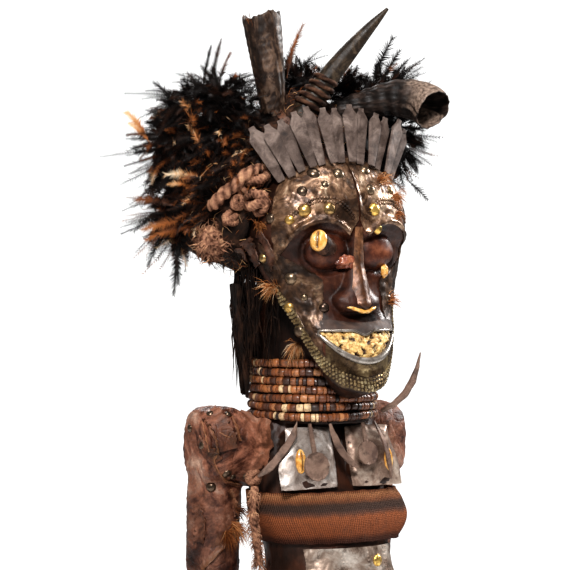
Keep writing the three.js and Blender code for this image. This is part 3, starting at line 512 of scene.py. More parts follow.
def tarnishedSheet(name, metallic, dull, dirt, *stops):
    # beaten sheet; dull is its roughness where it is rubbed and where it isn't
    look = Look(name, metallic=metallic)
    colour = look.ramp(look.noise(42, 8, 0.65, 0.8), *stops)
    colour = look.stain(colour, look.noise(105, 7, 0.7), 0.5, 0.66, 0.75, dirt)
    scratch = look.noise(420, 4, 0.5, place=look.where((1, 1, 6), (0.4, 0.7, 0.2)))
    colour = look.darken(0.3, colour, scratch, 0.35, 0.35, 0.65)
    rough = look.ramp(look.noise(70, 6), (0.3, dull[0]), (0.75, dull[1]))
    hammer = look.cells(136.0, feature="SMOOTH_F1")
    return look.finished(colour, rough, look.mix(0.5, hammer, look.noise(160, 5)), 0.5, 0.0011)


darkDirt, rustDirt = (0.02, 0.012, 0.008), (0.07, 0.035, 0.02)
woodFinish = oldWoodMaterial()
# each metal: how metallic, its two roughnesses, its dirt, and its colours from dark to light
metals = {
    "tarnished_copper": (0.5, (0.24, 0.5), darkDirt, (0.3, 0.014, 0.007, 0.004), (0.44, 0.07, 0.034, 0.018),
                         (0.55, 0.25, 0.14, 0.08), (0.66, 0.56, 0.4, 0.27), (0.78, 0.58, 0.24, 0.08)),
    "cheek_copper": (0.45, (0.28, 0.52), darkDirt, (0.3, 0.01, 0.005, 0.003), (0.45, 0.036, 0.018, 0.01),
                     (0.57, 0.11, 0.056, 0.03), (0.7, 0.34, 0.22, 0.13), (0.8, 0.42, 0.16, 0.05)),
    "nose_copper": (0.35, (0.3, 0.5), darkDirt, (0.3, 0.024, 0.009, 0.004), (0.48, 0.11, 0.042, 0.017),
                    (0.62, 0.3, 0.135, 0.06), (0.74, 0.5, 0.3, 0.17)),
    "beard_brass": (0.65, (0.24, 0.45), darkDirt, (0.3, 0.016, 0.009, 0.006), (0.5, 0.06, 0.036, 0.02),
                    (0.75, 0.26, 0.18, 0.09)),
    "beard_dots": (0.7, (0.24, 0.4), darkDirt, (0.3, 0.04, 0.025, 0.012), (0.5, 0.24, 0.165, 0.08),
                   (0.72, 0.78, 0.66, 0.4)),
    "chin_bronze": (0.7, (0.2, 0.42), darkDirt, (0.3, 0.02, 0.011, 0.006), (0.5, 0.1, 0.06, 0.03),
                    (0.62, 0.32, 0.23, 0.12), (0.75, 0.72, 0.6, 0.36)),
    "lip_iron": (0.1, (0.55, 0.8), darkDirt, (0.3, 0.01, 0.005, 0.003), (0.5, 0.042, 0.018, 0.01),
                 (0.72, 0.12, 0.064, 0.038)),
    "polished_rim": (0.7, (0.2, 0.36), (0.06, 0.035, 0.022), (0.3, 0.1, 0.08, 0.066), (0.5, 0.29, 0.25, 0.215),
                     (0.72, 0.62, 0.57, 0.52)),
    "pale_sheet": (0.6, (0.28, 0.5), (0.09, 0.048, 0.027), (0.3, 0.16, 0.11, 0.085), (0.48, 0.5, 0.42, 0.37),
                   (0.68, 0.84, 0.79, 0.75)),
    "brown_sheet": (0.5, (0.3, 0.52), rustDirt, (0.3, 0.08, 0.044, 0.03), (0.5, 0.3, 0.2, 0.15),
                    (0.7, 0.6, 0.49, 0.4)),
    "belly_iron": (0.6, (0.26, 0.48), rustDirt, (0.3, 0.11, 0.068, 0.048), (0.48, 0.34, 0.25, 0.195),
                   (0.68, 0.72, 0.63, 0.55)),
    "forged_iron": (0.15, (0.6, 0.85), (0.035, 0.02, 0.014), (0.3, 0.02, 0.012, 0.009),
                    (0.44, 0.075, 0.048, 0.037), (0.57, 0.16, 0.115, 0.095), (0.7, 0.29, 0.22, 0.185)),
    "pendant_iron": (0.1, (0.6, 0.85), (0.05, 0.027, 0.017), (0.3, 0.08, 0.042, 0.03),
                     (0.5, 0.19, 0.115, 0.083), (0.72, 0.31, 0.205, 0.15)),
}
metal = {name: tarnishedSheet(name, *row) for name, row in metals.items()}
print("metal and wood materials ready")

# the head's own surface: turns are degrees from straight ahead, heights are above the soles, and each pair in a
# table is a place and its value there
head = {
    "halfWidth": [(455, 26), (466, 32), (480, 43), (500, 52), (530, 60), (560, 68), (590, 76), (630, 83),
                  (660, 78), (685, 61), (702, 38), (715, 8)],
    "face": [(455, 58), (466, 70), (476, 75), (500, 73), (530, 67), (552, 54), (580, 49), (612, 49), (628, 57),
             (645, 59), (665, 55), (685, 44), (702, 27), (715, 6)],
    "nape": [(455, 62), (540, 78), (580, 90), (630, 100), (660, 96), (685, 74), (702, 46), (715, 8)],
    "jaw": [(0, 464), (20, 470), (40, 492), (61, 530), (86, 570), (100, 595), (180, 598)],
    "hairline": [(0, 696), (40, 692), (70, 676), (90, 650)],
    "neckRadius": 56.5,
    "neckBack": 22,
    "eyeTurn": 33,
    "eyeHeight": 606,
    "mouthHalf": 42,
    "mouthTop": 530,
    "mouthBottom": 503,
}


def browHeight(turn):
    return head["eyeHeight"] + 32 - 21 * ((np.abs(turn) - head["eyeTurn"]) / 29) ** 2


def jawHeight(turn):
    return along(head["jaw"], np.abs(turn))


def upperLip(x):
    return head["mouthTop"] - 5 * np.maximum(0, 1 - np.abs(x) / 12)


def lowerLip(x):
    low, top = head["mouthBottom"], head["mouthTop"] - 2
    return low + (top - low) * (np.minimum(np.abs(x), head["mouthHalf"]) / head["mouthHalf"]) ** 2.2


def headReach(turn, h):
    turn = np.asarray(turn, float)
    s, c = np.sin(np.radians(turn)), np.cos(np.radians(turn))
    neck = -head["neckBack"] * c + np.sqrt(head["neckRadius"] ** 2 - (head["neckBack"] * s) ** 2)
    depth = np.where(c > 0, along(head["face"], h), along(head["nape"], h))
    skull = (np.abs(s / along(head["halfWidth"], h)) ** 2.4 + np.abs(c / depth) ** 2.4) ** (-1 / 2.4)
    share = ease((h - jawHeight(turn)) / 5, -1, 1)
    return np.maximum(neck * (1 - share), 0) + skull * share


def headPoint(turn, h, out=0.0):
    # a point on the skull, with its height above the floor
    turn, h = np.broadcast_arrays(np.asarray(turn, float), np.asarray(h, float))
    reach = headReach(turn, h) + out
    a = np.radians(turn)
    return np.stack([reach * np.sin(a), -reach * np.cos(a), h + baseHeight], axis=-1)


def headOut(turn, h):
    # the direction straight out of the skull
    out = Vector(headPoint(turn + 1, h) - headPoint(turn - 1, h)).cross(
        Vector(headPoint(turn, h + 2) - headPoint(turn, h - 2))).normalized()
    a = math.radians(turn)
    return out if out.dot(Vector((math.sin(a), -math.cos(a), 0))) > 0 else -out


def turnAt(x, h, axis=0, rounds=14, limit=0.99):
    # the turn whose point of the face lies x to the side of a line of sight at `axis` degrees
    turn = np.zeros(np.broadcast(x, h).shape)
    for _ in range(rounds):
        turn = np.degrees(np.arcsin(np.clip(x / headReach(turn, h), -limit, limit))) + axis
    return turn


# what is cut into the face or left standing on it: half width, half height, and depth or rise
faceCuts = {
    "socket": (30, 23, 9.5),
    "lid": (25, 17.5, 18.5),
    "lidFoot": -9,
    "browHalf": 4.6,
    "browRise": 5.2,
    "browFrom": (4, 12),  # turns over which the brow ridge comes up and dies away
    "browTo": (58, 66),
    "underNose": (22, 6, 6),
    "underNoseHeight": 545,
    "underLip": (27, 8, 3.2),
    "underLipDrop": 15,
    "mouthDepth": 4.5,
    "frontTurn": 75,
}


def faceRelief(turn, h):
    # how far the carved face stands out of the skull's plain surface
    reach = headReach(turn, h)
    out = np.zeros(reach.shape)
    rise = h - head["eyeHeight"]
    for side in (-1, 1):
        across = np.radians(turn - side * head["eyeTurn"]) * reach
        wide, high, deep = faceCuts["socket"]
        hollow = np.clip(1 - (across / wide) ** 2 - (rise / high) ** 2, 0, None)
        out -= deep * np.sqrt(hollow) * ease(hollow, 0, 0.15)
        wide, high, dome = faceCuts["lid"]
        lid = np.clip(1 - (across / wide) ** 2 - ((rise - 1) / high) ** 2, 0, None)
        out = np.where(lid > 0, np.maximum(out, faceCuts["lidFoot"] + dome * np.sqrt(lid)), out)
        ridge = faceCuts["browRise"] * bell(h, browHeight(turn), faceCuts["browHalf"])
        out += ridge * ease(side * turn, *faceCuts["browFrom"]) * (1 - ease(side * turn, *faceCuts["browTo"]))
    x = reach * np.sin(np.radians(turn))
    front = np.abs(turn) < faceCuts["frontTurn"]
    for cut, level in (("underNose", faceCuts["underNoseHeight"]),
                       ("underLip", lowerLip(x) - faceCuts["underLipDrop"])):
        wide, high, deep = faceCuts[cut]
        out -= front * deep * np.exp(-((x / wide) ** 4) - ((h - level) / high) ** 2)
    rim = np.minimum(upperLip(x) - h, h - lowerLip(x))
    return out - (front & (np.abs(x) < head["mouthHalf"] + 3)) * faceCuts["mouthDepth"] * ease(rim, -0.5, 2.5)


def headSolid():
    heights = np.concatenate([np.linspace(438, 700, 190), np.linspace(701, 714.6, 12)])
    turn, h = np.meshgrid(np.linspace(-180, 180, 260, endpoint=False), heights)
    return loft("head", headPoint(turn, h, faceRelief(turn, h)))


# nose with its wings
nose = {
    "half": [(550, 20), (555, 25), (561, 26), (568, 19), (576, 13), (600, 7.5), (634, 5.5)],
    "ridge": [(550, 68), (556, 70), (561, 68), (575, 64), (600, 58), (634, 58.5)],
    "foot": 48,
}


def noseSolid():
    rings = []
    for h in np.concatenate([np.linspace(549, 572, 14), np.linspace(575, 634, 24)]):
        wing, ridge = along(nose["half"], h), along(nose["ridge"], h)
        a = np.linspace(0, np.pi, 25)
        front = nose["foot"] + (ridge - nose["foot"]) * power(np.sin(a), 0.8 if h > 575 else 0.62)
        rings.append(np.column_stack([np.concatenate([wing * np.cos(a), [-wing, wing]]),
                                      -np.concatenate([front, [20, 20]]), np.full(27, h + baseHeight)]))
    return loft("nose", np.array(rings))


# trunk, shoulders and limbs; depths are along y, with the front negative
trunk = {
    "half": [(162, 58), (180, 74), (210, 79), (240, 76), (275, 68), (305, 62), (325, 64), (345, 70), (370, 72),
             (410, 73), (440, 66), (454, 50)],
    "front": [(162, -38), (180, -56), (210, -72), (240, -76), (275, -66), (305, -57), (325, -51), (345, -45),
              (370, -32), (410, -21), (440, -8), (454, 4)],
    "back": [(162, 62), (180, 74), (210, 72), (240, 60), (275, 52), (305, 50), (325, 52), (345, 56), (370, 60),
             (395, 70), (410, 80), (440, 84), (454, 72)],
    "square": [(162, 2.3), (380, 2.4), (410, 3), (454, 3)],
}


def trunkPoint(turn, h, out=0.0):
    turn, h = np.broadcast_arrays(np.asarray(turn, float), np.asarray(h, float))
    exponent = 2 / along(trunk["square"], h)
    front, back = along(trunk["front"], h), along(trunk["back"], h)
    x = (along(trunk["half"], h) + out) * power(np.sin(np.radians(turn)), exponent)
    y = (front + back) / 2 - ((back - front) / 2 + out) * power(np.cos(np.radians(turn)), exponent)
    return np.stack([x, y, h + baseHeight], axis=-1)


yoke = {
    "high": [(0, 34), (62, 34), (92, 36), (112, 35), (119, 30)],
    "deep": [(0, 36), (62, 35), (92, 34), (112, 30), (119, 22)],
    "middle": [(0, 408), (62, 409), (92, 417), (119, 415)],
    "stations": [0, 30, 56, 74, 88, 96, 104, 111, 115.5, 118, 119],
}


def yokeRings(grow=0.0):
    turn = ringTurns(40)
    rings = []
    for x in [-x for x in yoke["stations"][:0:-1]] + yoke["stations"]:
        pinch = 1 - 0.2 * ease(abs(x), 115, 119)
        high, deep, middle = [along(yoke[key], abs(x)) for key in ("high", "deep", "middle")]
        rings.append(np.column_stack([
            np.full(40, x + grow * np.sign(x) * ease(abs(x), 111, 119)),
            52 + (deep + grow) * pinch * power(np.cos(turn), 0.72),
            middle + baseHeight + (high + grow) * pinch * power(np.sin(turn), 0.72)]))
    return np.array(rings)


limbs = {
    "arm": [(93, 52, 430), (93, 60, 370), (93, 63, 310), (92, 58, 262), (90, 34, 240), (84, -10, 238),
            (70, -40, 242)],
    "armRadius": [(0, 26.2), (0.16, 24.8), (0.4, 24.3), (0.56, 24.2), (0.75, 21.9), (1, 16.5)],
    "palm": [(72, -36, 241), (60, -56, 243), (42, -70, 245)],
    "palmWidth": [(0, 17), (0.5, 21), (1, 19)],
    "leg": [(40, 12, 190), (43, 0, 130), (46, -8, 100), (46, 8, 58), (45, 12, 20)],
    "legRadius": [(0, 41), (0.3, 35), (0.5, 28), (0.72, 30), (1, 22)],
    "footHalf": [(0, 13), (0.05, 17), (0.15, 21), (0.45, 24), (0.8, 27), (0.96, 24), (1, 18)],
    "footHigh": [(0, 20), (0.2, 34), (0.45, 30), (0.8, 16), (0.96, 12), (1, 7)],
}


def sided(points, side=1):
    return [(side * x, y, h + baseHeight) for x, y, h in points]


def armRings(side, grow=0.0):
    return tubeRings(sided(limbs["arm"], side), lambda t: along(limbs["armRadius"], t) + grow,
                     sides=36, steps=60)


def footRings(side):
    a = np.linspace(0, np.pi, 61)
    rings = []
    for t in np.linspace(0, 1, 30):
        half, high = along(limbs["footHalf"], t), along(limbs["footHigh"], t)
        split = ease(t, 0.66, 0.8) * 0.2
        toes = split * np.abs(np.sin(np.arange(61) / 60 * 5 * np.pi)) ** 0.5
        x = np.concatenate([[-1, 1], np.cos(a)]) * half + side * (44 + 6 * t)
        z = np.concatenate([[-2, -2], (0.25 + (0.75 - split) * np.sin(a) + toes) * high])
        rings.append(np.column_stack([x, np.full(63, 42 - 112 * t), z + baseHeight]))
    return np.array(rings)


def blob(name, middle, radii):
    # a ball pulled to size, as a start for joined wood
    obj = added(bpy.ops.mesh.primitive_uv_sphere_add, name, segments=40, ring_count=24, radius=1)
    setCoords(obj, coords(obj, 1) * radii)
    obj.data.transform(Matrix.Translation(Vector(middle) * mm))
    return obj


breast = {"tilt": 15, "half": 26, "high": 30, "rise": 13}


def onBreast(side, points):
    # points given about the breast's own middle
    spot = Matrix.Translation((side * 35, -19, 403 + baseHeight)) @ Matrix.Rotation(
        -math.radians(breast["tilt"]), 4, "X")
    return np.array([spot @ Vector(p) for p in points])


def breastSolid(side):
    a = ringTurns(48)
    rings = []
    for out, inset in ((-6, 0), (0, 0), (5, 0), (8.5, 0.6), (11, 2), (12.6, 4.2), (13, 7)):
        rings.append(np.column_stack([(breast["half"] + 1 - inset) * power(np.cos(a), 0.5), np.full(48, -out),
                                      (breast["high"] + 1 - inset) * power(np.sin(a), 0.5)]))
    return loft("breast", onBreast(side, np.array(rings).reshape(-1, 3)).reshape(7, 48, 3))


def carvedParts():
    turn, h = np.meshgrid(np.linspace(0, 360, 96, endpoint=False), np.linspace(162, 454, 90))
    parts = [headSolid(), noseSolid(), loft("trunk", trunkPoint(turn, h)), loft("yoke", yokeRings()),
             blob("navel", (0, -74, 226 + baseHeight), (9, 9, 9))]
    up = (0, 0, 1)
    for side in (-1, 1):
        parts += [loft("arm", armRings(side)),
                  loft("palm", tubeRings(sided(limbs["palm"], side), lambda t: along(limbs["palmWidth"], t),
                                         lambda t: 9, up, 28, 14, 2.6))]
        for i in range(4):
            level = 258 - i * 9.6
            finger = sided([(46, -68, level), (30, -77, level - 1), (15 + i, -80, level - 2)], side)
            parts.append(loft("finger", tubeRings(
                finger, lambda t: 4.8 * (1 - 0.75 * max(0, t - 0.86) / 0.14) ** 0.5, None, up, 16, 16)))
        parts += [blob("buttock", (side * 33, 48, 192 + baseHeight), (38, 34, 38)),
                  loft("leg", tubeRings(sided(limbs["leg"], side), lambda t: along(limbs["legRadius"], t),
                                        None, (1, 0, 0), 36, 40)),
                  loft("foot", footRings(side)), breastSolid(side)]
    base = added(bpy.ops.mesh.primitive_cylinder_add, "base", vertices=160, radius=106 * mm,
                 depth=baseHeight * mm, location=(0, 0, baseHeight * mm / 2))
    bpy.ops.object.transform_apply(location=True, rotation=True, scale=True)
    modify(base, "BEVEL", width=4 * mm, segments=3, limit_method="ANGLE")
    return parts + [base]


carving = {"voxel": 1.9, "triangles": 112000, "toolMarks": 0.5, "facets": 0.9, "cuts": 0.35, "cracks": 1.1}


def carveFigure():
    # the whole carving as one skin, cut by the adze and worn by hands
    wood = joined(carvedParts(), "wood_figure")
    remesh(wood, carving["voxel"])
    modify(wood, "SMOOTH", factor=0.5, iterations=2)
    modify(wood, "DECIMATE", ratio=min(1.0, carving["triangles"] / triangles(wood)))
    points, out = coords(wood), normals(wood)
    shift = (carving["toolMarks"] * grain(points * (1, 1, 0.55), 13, 3.1)
             + carving["facets"] * (np.abs(grain(points, 7.5, 8.4)) - 0.25)
             + carving["cuts"] * grain(points * (2.2, 2.2, 0.35), 9, 15.0)) * (
        1 - 0.45 * ease(points[:, 2], 460, 520))
    cracks = ease(np.abs(grain(points * (1, 1, 0.12), 16, 33.0)), 0.05, 0.0)
    cracks *= ease(grain(points, 40, 7.7), 0.05, 0.25)
    shift -= carving["cracks"] * cracks
    shift[(points[:, 2] < 3) | (points[:, 2] > 830)] = 0
    points += out * np.minimum(shift, 0.45)[:, None]
    setCoords(wood, points)
    reach = [np.linalg.norm(points - headPoint(turn, head["eyeHeight"]), axis=1) / 27 for turn in (-32, 32)]
    face = ease(-points[:, 1], 18, 45) * ease(points[:, 2], 545, 575)
    setShade(wood, np.maximum(np.exp(-np.minimum(*reach) ** 4), 0.4 * face))
    smooth(wood)
    return place(wood, woodFinish, "old_wood", "carved_figure")


wood = carveFigure()
print("carved figure", triangles(wood))


def gridPiece(name, columns, rows, put, thickness, wave, edge=0.0, seed=0.0):
    # a sheet bent into place: put(u, v) gives its points, with u and v from 0 to 1, wave(points) how far they
    # stand out, and edge makes the rims ragged
    obj = added(bpy.ops.mesh.primitive_grid_add, name, x_subdivisions=columns, y_subdivisions=rows, size=1)
    u, v = (coords(obj, 1)[:, :2] + 0.5).T
    if edge:
        jagU = grain(np.column_stack([v * 30, u * 0, v * 0]), 1, seed + 0.3)
        jagV = grain(np.column_stack([u * 30, v * 0 + 5, u * 0]), 1, seed + 9.1)
        u = u + edge * jagU * (np.abs(u - 0.5) * 2) ** 3
        v = v + edge * jagV * (np.abs(v - 0.5) * 2) ** 3
    points = put(u, v)
    setCoords(obj, points)
    setCoords(obj, points + normals(obj) * wave(points)[:, None])
    modify(obj, "SOLIDIFY", thickness=thickness * mm, offset=0)
    outward(obj)
    smooth(obj, 40)
    return obj


def onFace(turn, h, lift):
    return headPoint(turn, h, faceRelief(turn, h) + lift)


def hammered(depth, size, seed):
    return lambda points: depth * (grain(points, size, seed) + 0.5 * grain(points, size * 0.4, seed + 5))


def dotTemplate():
    ball = added(bpy.ops.mesh.primitive_uv_sphere_add, segments=8, ring_count=4, radius=1)
    ball.data.transform(Matrix.Diagonal((mm, mm, mm * 0.7, 1)))
    return template(ball)


def tackTemplate():
    # domed brass tack head with a thin rim
    obj = added(bpy.ops.mesh.primitive_uv_sphere_add, segments=20, ring_count=12, radius=1)
    p = coords(obj, 1)
    p[:, 2] *= np.where(p[:, 2] < 0, 0.18, 0.62)
    p[(np.abs(p[:, 2]) < 0.1) & (np.hypot(p[:, 0], p[:, 1]) > 0.9), :2] *= 1.1
    setCoords(obj, p)
    return template(obj)


dotShape, tackShape = dotTemplate(), tackTemplate()


def dottedRows(name, paths, radius, spacing, lift, jitter, seed):
    # punched dots along lines of (turn, height)
    chance = random.Random(seed)
    places = []
    for path in paths:
        t = np.linspace(0, 1, 60)
        turn, h = [along([(i / (len(path) - 1), p[k]) for i, p in enumerate(path)], t) for k in (0, 1)]
        length = runOf(onFace(turn, h, lift))
        for d in np.arange(spacing / 2, length[-1], spacing):
            a, b = np.interp(d, length, turn), np.interp(d, length, h)
            b += chance.uniform(-jitter, jitter)
            places.append(frameAt(onFace(a, b, lift), headOut(a, b), radius * chance.uniform(0.8, 1.15)))
    return copies(name, dotShape, places)


forehead = {"thick": 1.0, "lift": 1.0, "seam": 0.9, "outer": 73, "overhang": 2.5, "dotRows": (19, 22.8)}


def foreheadPlate(side, name):
    def put(u, v):
        turn = forehead["seam"] + (forehead["outer"] - forehead["seam"]) * u
        foot = np.maximum(browHeight(turn) - forehead["overhang"], 640 - 1.5 * turn)
        top = along(head["hairline"], turn) + 5
        # the left plate laps over the right one at the seam
        lap = 0.9 * (side > 0) * ease(u, 0.04, 0.0)
        return onFace(side * turn, foot + (top - foot) * v, forehead["lift"] + lap)

    plate = gridPiece(name, 72, 54, put, forehead["thick"], hammered(0.85, 7, side * 3.0), 0.008, side)
    rows = [[(side * t, float(browHeight(t)) + rise - 0.02 * abs(t - 30)) for t in (5, 15, 27, 38, 50, 61)]
            for rise in forehead["dotRows"]]
    seam = [(side * x, h) for x, h in ((3.4, 652), (3.4, 670), (3.2, 688), (3, 698))]
    return joined([plate, dottedRows("dots", rows, 1.5, 3.2, 2.1, 0.15, 4),
                   dottedRows("dots", [seam], 0.8, 3.4, 1.1, 0.2, 6)], name)


# from the turn by the nose, over so many degrees; above the jaw and below the eye, rising outward
cheek = {"turn": 36, "span": 50, "overJaw": 22, "underEye": 26, "rise": 36, "lift": 0.9, "thick": 0.9}


def cheekPlate(side, name):
    def put(u, v):
        turn = cheek["turn"] + cheek["span"] * u
        foot = along(head["jaw"], turn) + cheek["overJaw"]
        top = head["eyeHeight"] - cheek["underEye"] + cheek["rise"] * u
        return onFace(side * turn, foot + (top - foot) * v, cheek["lift"])

    plate = gridPiece(name, 56, 46, put, cheek["thick"], hammered(1.1, 8, side * 7.7), 0.03, side * 2.2)
    row = [(side * t, h) for t, h in ((40, 520), (50, 556), (62, 584), (78, 604))]
    return joined([plate, dottedRows("dots", [row], 0.9, 3.4, 1.0, 0.3, 9)], name)


for make, sheet, finish in ((foreheadPlate, "forehead", "tarnished_copper"),
                            (cheekPlate, "cheek", "cheek_copper")):
    for side, hand in ((-1, "right"), (1, "left")):
        place(make(side, f"{sheet}_sheet_{hand}"), metal[finish], "sheet_copper", f"{sheet}_plate_{hand}")


def beardPut(u, v):
    turn = -77 + 154 * u
    return onFace(turn, jawHeight(turn) + 6 + 16 * v, 0.9 + 1.1 * np.sin(np.pi * v))


def chinPut(u, v):
    # crescent between the lower lip and the beard band
    x = -38 + 76 * u
    top = lowerLip(x) - 5.5
    foot = np.minimum(jawHeight(turnAt(x, top)) + 21, top - 1)
    h = foot + (top - foot) * v
    return onFace(turnAt(x, h), h, 1.5)


def lipPut(u, v):
    x = -41 + 82 * u
    low = upperLip(x) + 1.2
    high = head["mouthTop"] + 8 + 7 * (x / 41) ** 2 - 5 * (np.abs(x) / 41) ** 6
    h = low + (high - low) * v
    return onFace(turnAt(x, h), h, 1.5 - 0.5 * np.sin(np.pi * v))


def nosePut(u, v):
    side = np.abs(u * 2 - 1)
    h = 551 + 6 * side * ease(v, 0.2, 0) + 81 * v
    x = (u * 2 - 1) * along([(0, 8.5), (0.18, 10.5), (0.45, 7), (0.8, 5), (1, 4.4)], v)
    reach = along(nose["ridge"], h) + 1.5 + 1.3 * (1 - side) - 0.045 * x * x
    return np.column_stack([x, -reach, h + baseHeight])


jaw = [(t, float(jawHeight(t))) for t in range(-75, 76, 15)]
beardRows = [[(t, h + rise) for t, h in jaw] for rise in (8.2, 11.8, 15.4, 19.0)]
place(gridPiece("beard_sheet", 150, 16, beardPut, 0.9, hammered(0.3, 8, 2.0)), metal["beard_brass"],
      "sheet_copper", "beard_plate")
place(dottedRows("beard_dots", beardRows, 1.7, 3.9, 2.1, 0.7, 14), metal["beard_dots"], "sheet_copper")
place(gridPiece("chin_sheet", 60, 16, chinPut, 1.0, hammered(0.35, 7, 5.5)), metal["chin_bronze"],
      "sheet_copper")
place(gridPiece("upper_lip_sheet", 70, 18, lipPut, 1.0, hammered(0.3, 8, 6.1)), metal["lip_iron"],
      "sheet_iron", "upper_lip_plate")

mouth = {"rimRadius": 3.6, "rimEnds": 1.2, "upperRadius": 1.3, "lower": 0.53, "packing": 2.2}


def lipRim():
    # thick below, thin above, all round the mouth
    def radius(t):
        swell = math.sin(math.pi * min(1, t / mouth["lower"]))
        if t < mouth["lower"]:
            return mouth["rimEnds"] + (mouth["rimRadius"] - mouth["rimEnds"]) * max(0, swell) ** 0.7
        return mouth["upperRadius"]

    x = (head["mouthHalf"] + 1.0) * np.sin(np.linspace(-np.pi / 2, np.pi / 2, 30))
    low = np.column_stack([x, lowerLip(x) - 1.8])
    high = np.column_stack([x, upperLip(x) + 0.8])[::-1][1:-1]
    x, h = np.vstack([low, high, low[:1]]).T
    obj = loft("lip_rim", tubeRings(headPoint(turnAt(x, h), h, 1.2), radius, None, (0, 0, 1), 14, 150))
    smooth(obj)
    return obj


place(lipRim(), metal["polished_rim"], "sheet_iron", "lower_lip_rim")


def packingMaterial():
    look = Look("grain_packing", 0.55)
    lumps, cloud = look.cells(330.0), look.noise(190, 7, 0.7, 1.0)
    colour = look.ramp(cloud, (0.32, 0.12, 0.045, 0.012), (0.42, 0.42, 0.22, 0.06), (0.55, 0.72, 0.5, 0.2),
                       (0.72, 0.86, 0.74, 0.46))
    colour = look.mix(look.ramp(lumps, (0.05, 0.55), (0.3, 0.0)), colour, (0.16, 0.06, 0.02))
    # near black where the shade attribute marks the packing's hollows: painted shade
    colour = look.mix(look.shade(), colour, (0.035, 0.011, 0.004))
    return look.finished(colour, None, look.mix(0.5, lumps, cloud), 0.6, 0.0012)


def mouthFilling():
    def put(u, v):
        x = (head["mouthHalf"] + 0.5) * np.sin((u - 0.5) * np.pi)
        h = lowerLip(x) + (upperLip(x) - lowerLip(x)) * v
        return headPoint(turnAt(x, h), h, -2.2 + 2.0 * np.sin(np.pi * v) * np.sin(np.pi * u))

    def hollow(points):
        return ease(grain(points, 6.5, 31.0) + 0.35 * grain(points, 2.4, 3.0), 0.22, 0.44)

    def lumps(points):
        return 1.9 * (grain(points, 4.6, 2.2) + 0.6 * grain(points, 2.1, 9.0)) - 2.2 * hollow(points)

    obj = gridPiece("mouth_filling", 104, 40, put, mouth["packing"], lumps)
    # the hollows are marked so that the material paints them near black: painted shade in them
    setShade(obj, hollow(coords(obj)))
    return obj


place(mouthFilling(), packingMaterial(), "resin", "mouth_packing")
place(gridPiece("nose_sheet", 20, 60, nosePut, 1.0, hammered(0.3, 7, 1.0)), metal["nose_copper"],
      "sheet_copper", "nose_strip")


def goldMaterial(name, roughness, *stops):
    look = Look(name, roughness, Coat_Weight=0.3)
    cloud = look.noise(150, 6, 0.6)
    # near black where the shade attribute is set, which only the cowries' slits carry: painted shade
    colour = look.mix(look.shade(), look.ramp(cloud, *stops), (0.03, 0.009, 0.004))
    return look.finished(colour, None, cloud, 0.25, 0.0008)


shellGold = goldMaterial("worn_shell", 0.3, (0.3, 0.3, 0.1, 0.02), (0.48, 0.62, 0.3, 0.06),
                         (0.7, 0.85, 0.6, 0.25))
resinBrown = goldMaterial("red_resin", 0.4, (0.3, 0.06, 0.016, 0.009), (0.5, 0.2, 0.055, 0.027),
                          (0.72, 0.4, 0.15, 0.075))

# gold edge under the wings of the nose
edgePath = [(-25, -50, 561), (-20, -60, 556), (-11, -67, 552), (0, -69.5, 549), (11, -67, 552), (20, -60, 556),
            (25, -50, 561)]
noseEdge = loft("nose_edge", tubeRings(
    sided(edgePath), lambda t: 1.0 + 0.9 * math.sin(math.pi * t), None, (0, 0, 1), 10, 60,
    relief=lambda a, t: 0.3 * np.sin(a * 2 + t * 60)))
smooth(noseEdge)
place(noseEdge, shellGold, "gold_shell")
print("face metal ready")


def hornMaterial(name, scale, stretch, *stops):
    look = Look(name, 0.5, Specular_IOR_Level=0.25)
    cloud, fine = look.noise(scale, 8, 0.65, 0.7, look.where(stretch)), look.noise(320, 5, 0.6)
    colour = look.darken(0.45, look.ramp(cloud, *stops), fine, 0.35, 0.35, 0.65)
    worn = look.ramp(fine, (0.35, 0.06, 0.038, 0.028), (0.65, 0.36, 0.26, 0.2))
    colour = look.mix(look.shade(), colour, worn)
    rough = look.ramp(fine, (0.3, 0.38), (0.7, 0.65))
    return look.finished(colour, rough, look.mix(0.4, cloud, fine), 0.5, 0.0012)


eyeTube = {"turn": -33, "height": 611, "way": (-0.75, -0.6, 0.27), "length": 24, "radius": 9.8}
tubeRoot = Vector(headPoint(eyeTube["turn"], eyeTube["height"], 2))
tubeWay = Vector(eyeTube["way"]).normalized()


def eyeTubePiece():
    def ridges(a, t):
        splits = np.abs(np.sin(a * 5 + t * 3)) > 0.93
        return 0.45 * np.sin(t * 34) * (0.6 + 0.4 * np.sin(a * 3)) - 0.35 * splits

    path = [tubeRoot + tubeWay * eyeTube["length"] * share for share in (-0.35, 0.3, 0.99)]
    obj = loft("eye_socket_tube", tubeRings(
        path, lambda t: eyeTube["radius"] * (1.06 - 0.1 * t) * (1 - 0.12 * max(0, t - 0.95) / 0.05),
        None, (1, 0, 0), 40, 44, relief=ridges))
    smooth(obj, 50)
    return obj


tubeFinish = hornMaterial("old_tube", 60, (1, 1, 1), (0.3, 0.01, 0.005, 0.003), (0.5, 0.05, 0.022, 0.013),
                          (0.7, 0.16, 0.08, 0.05))
place(eyeTubePiece(), tubeFinish, "horn", "eye_tube_right")


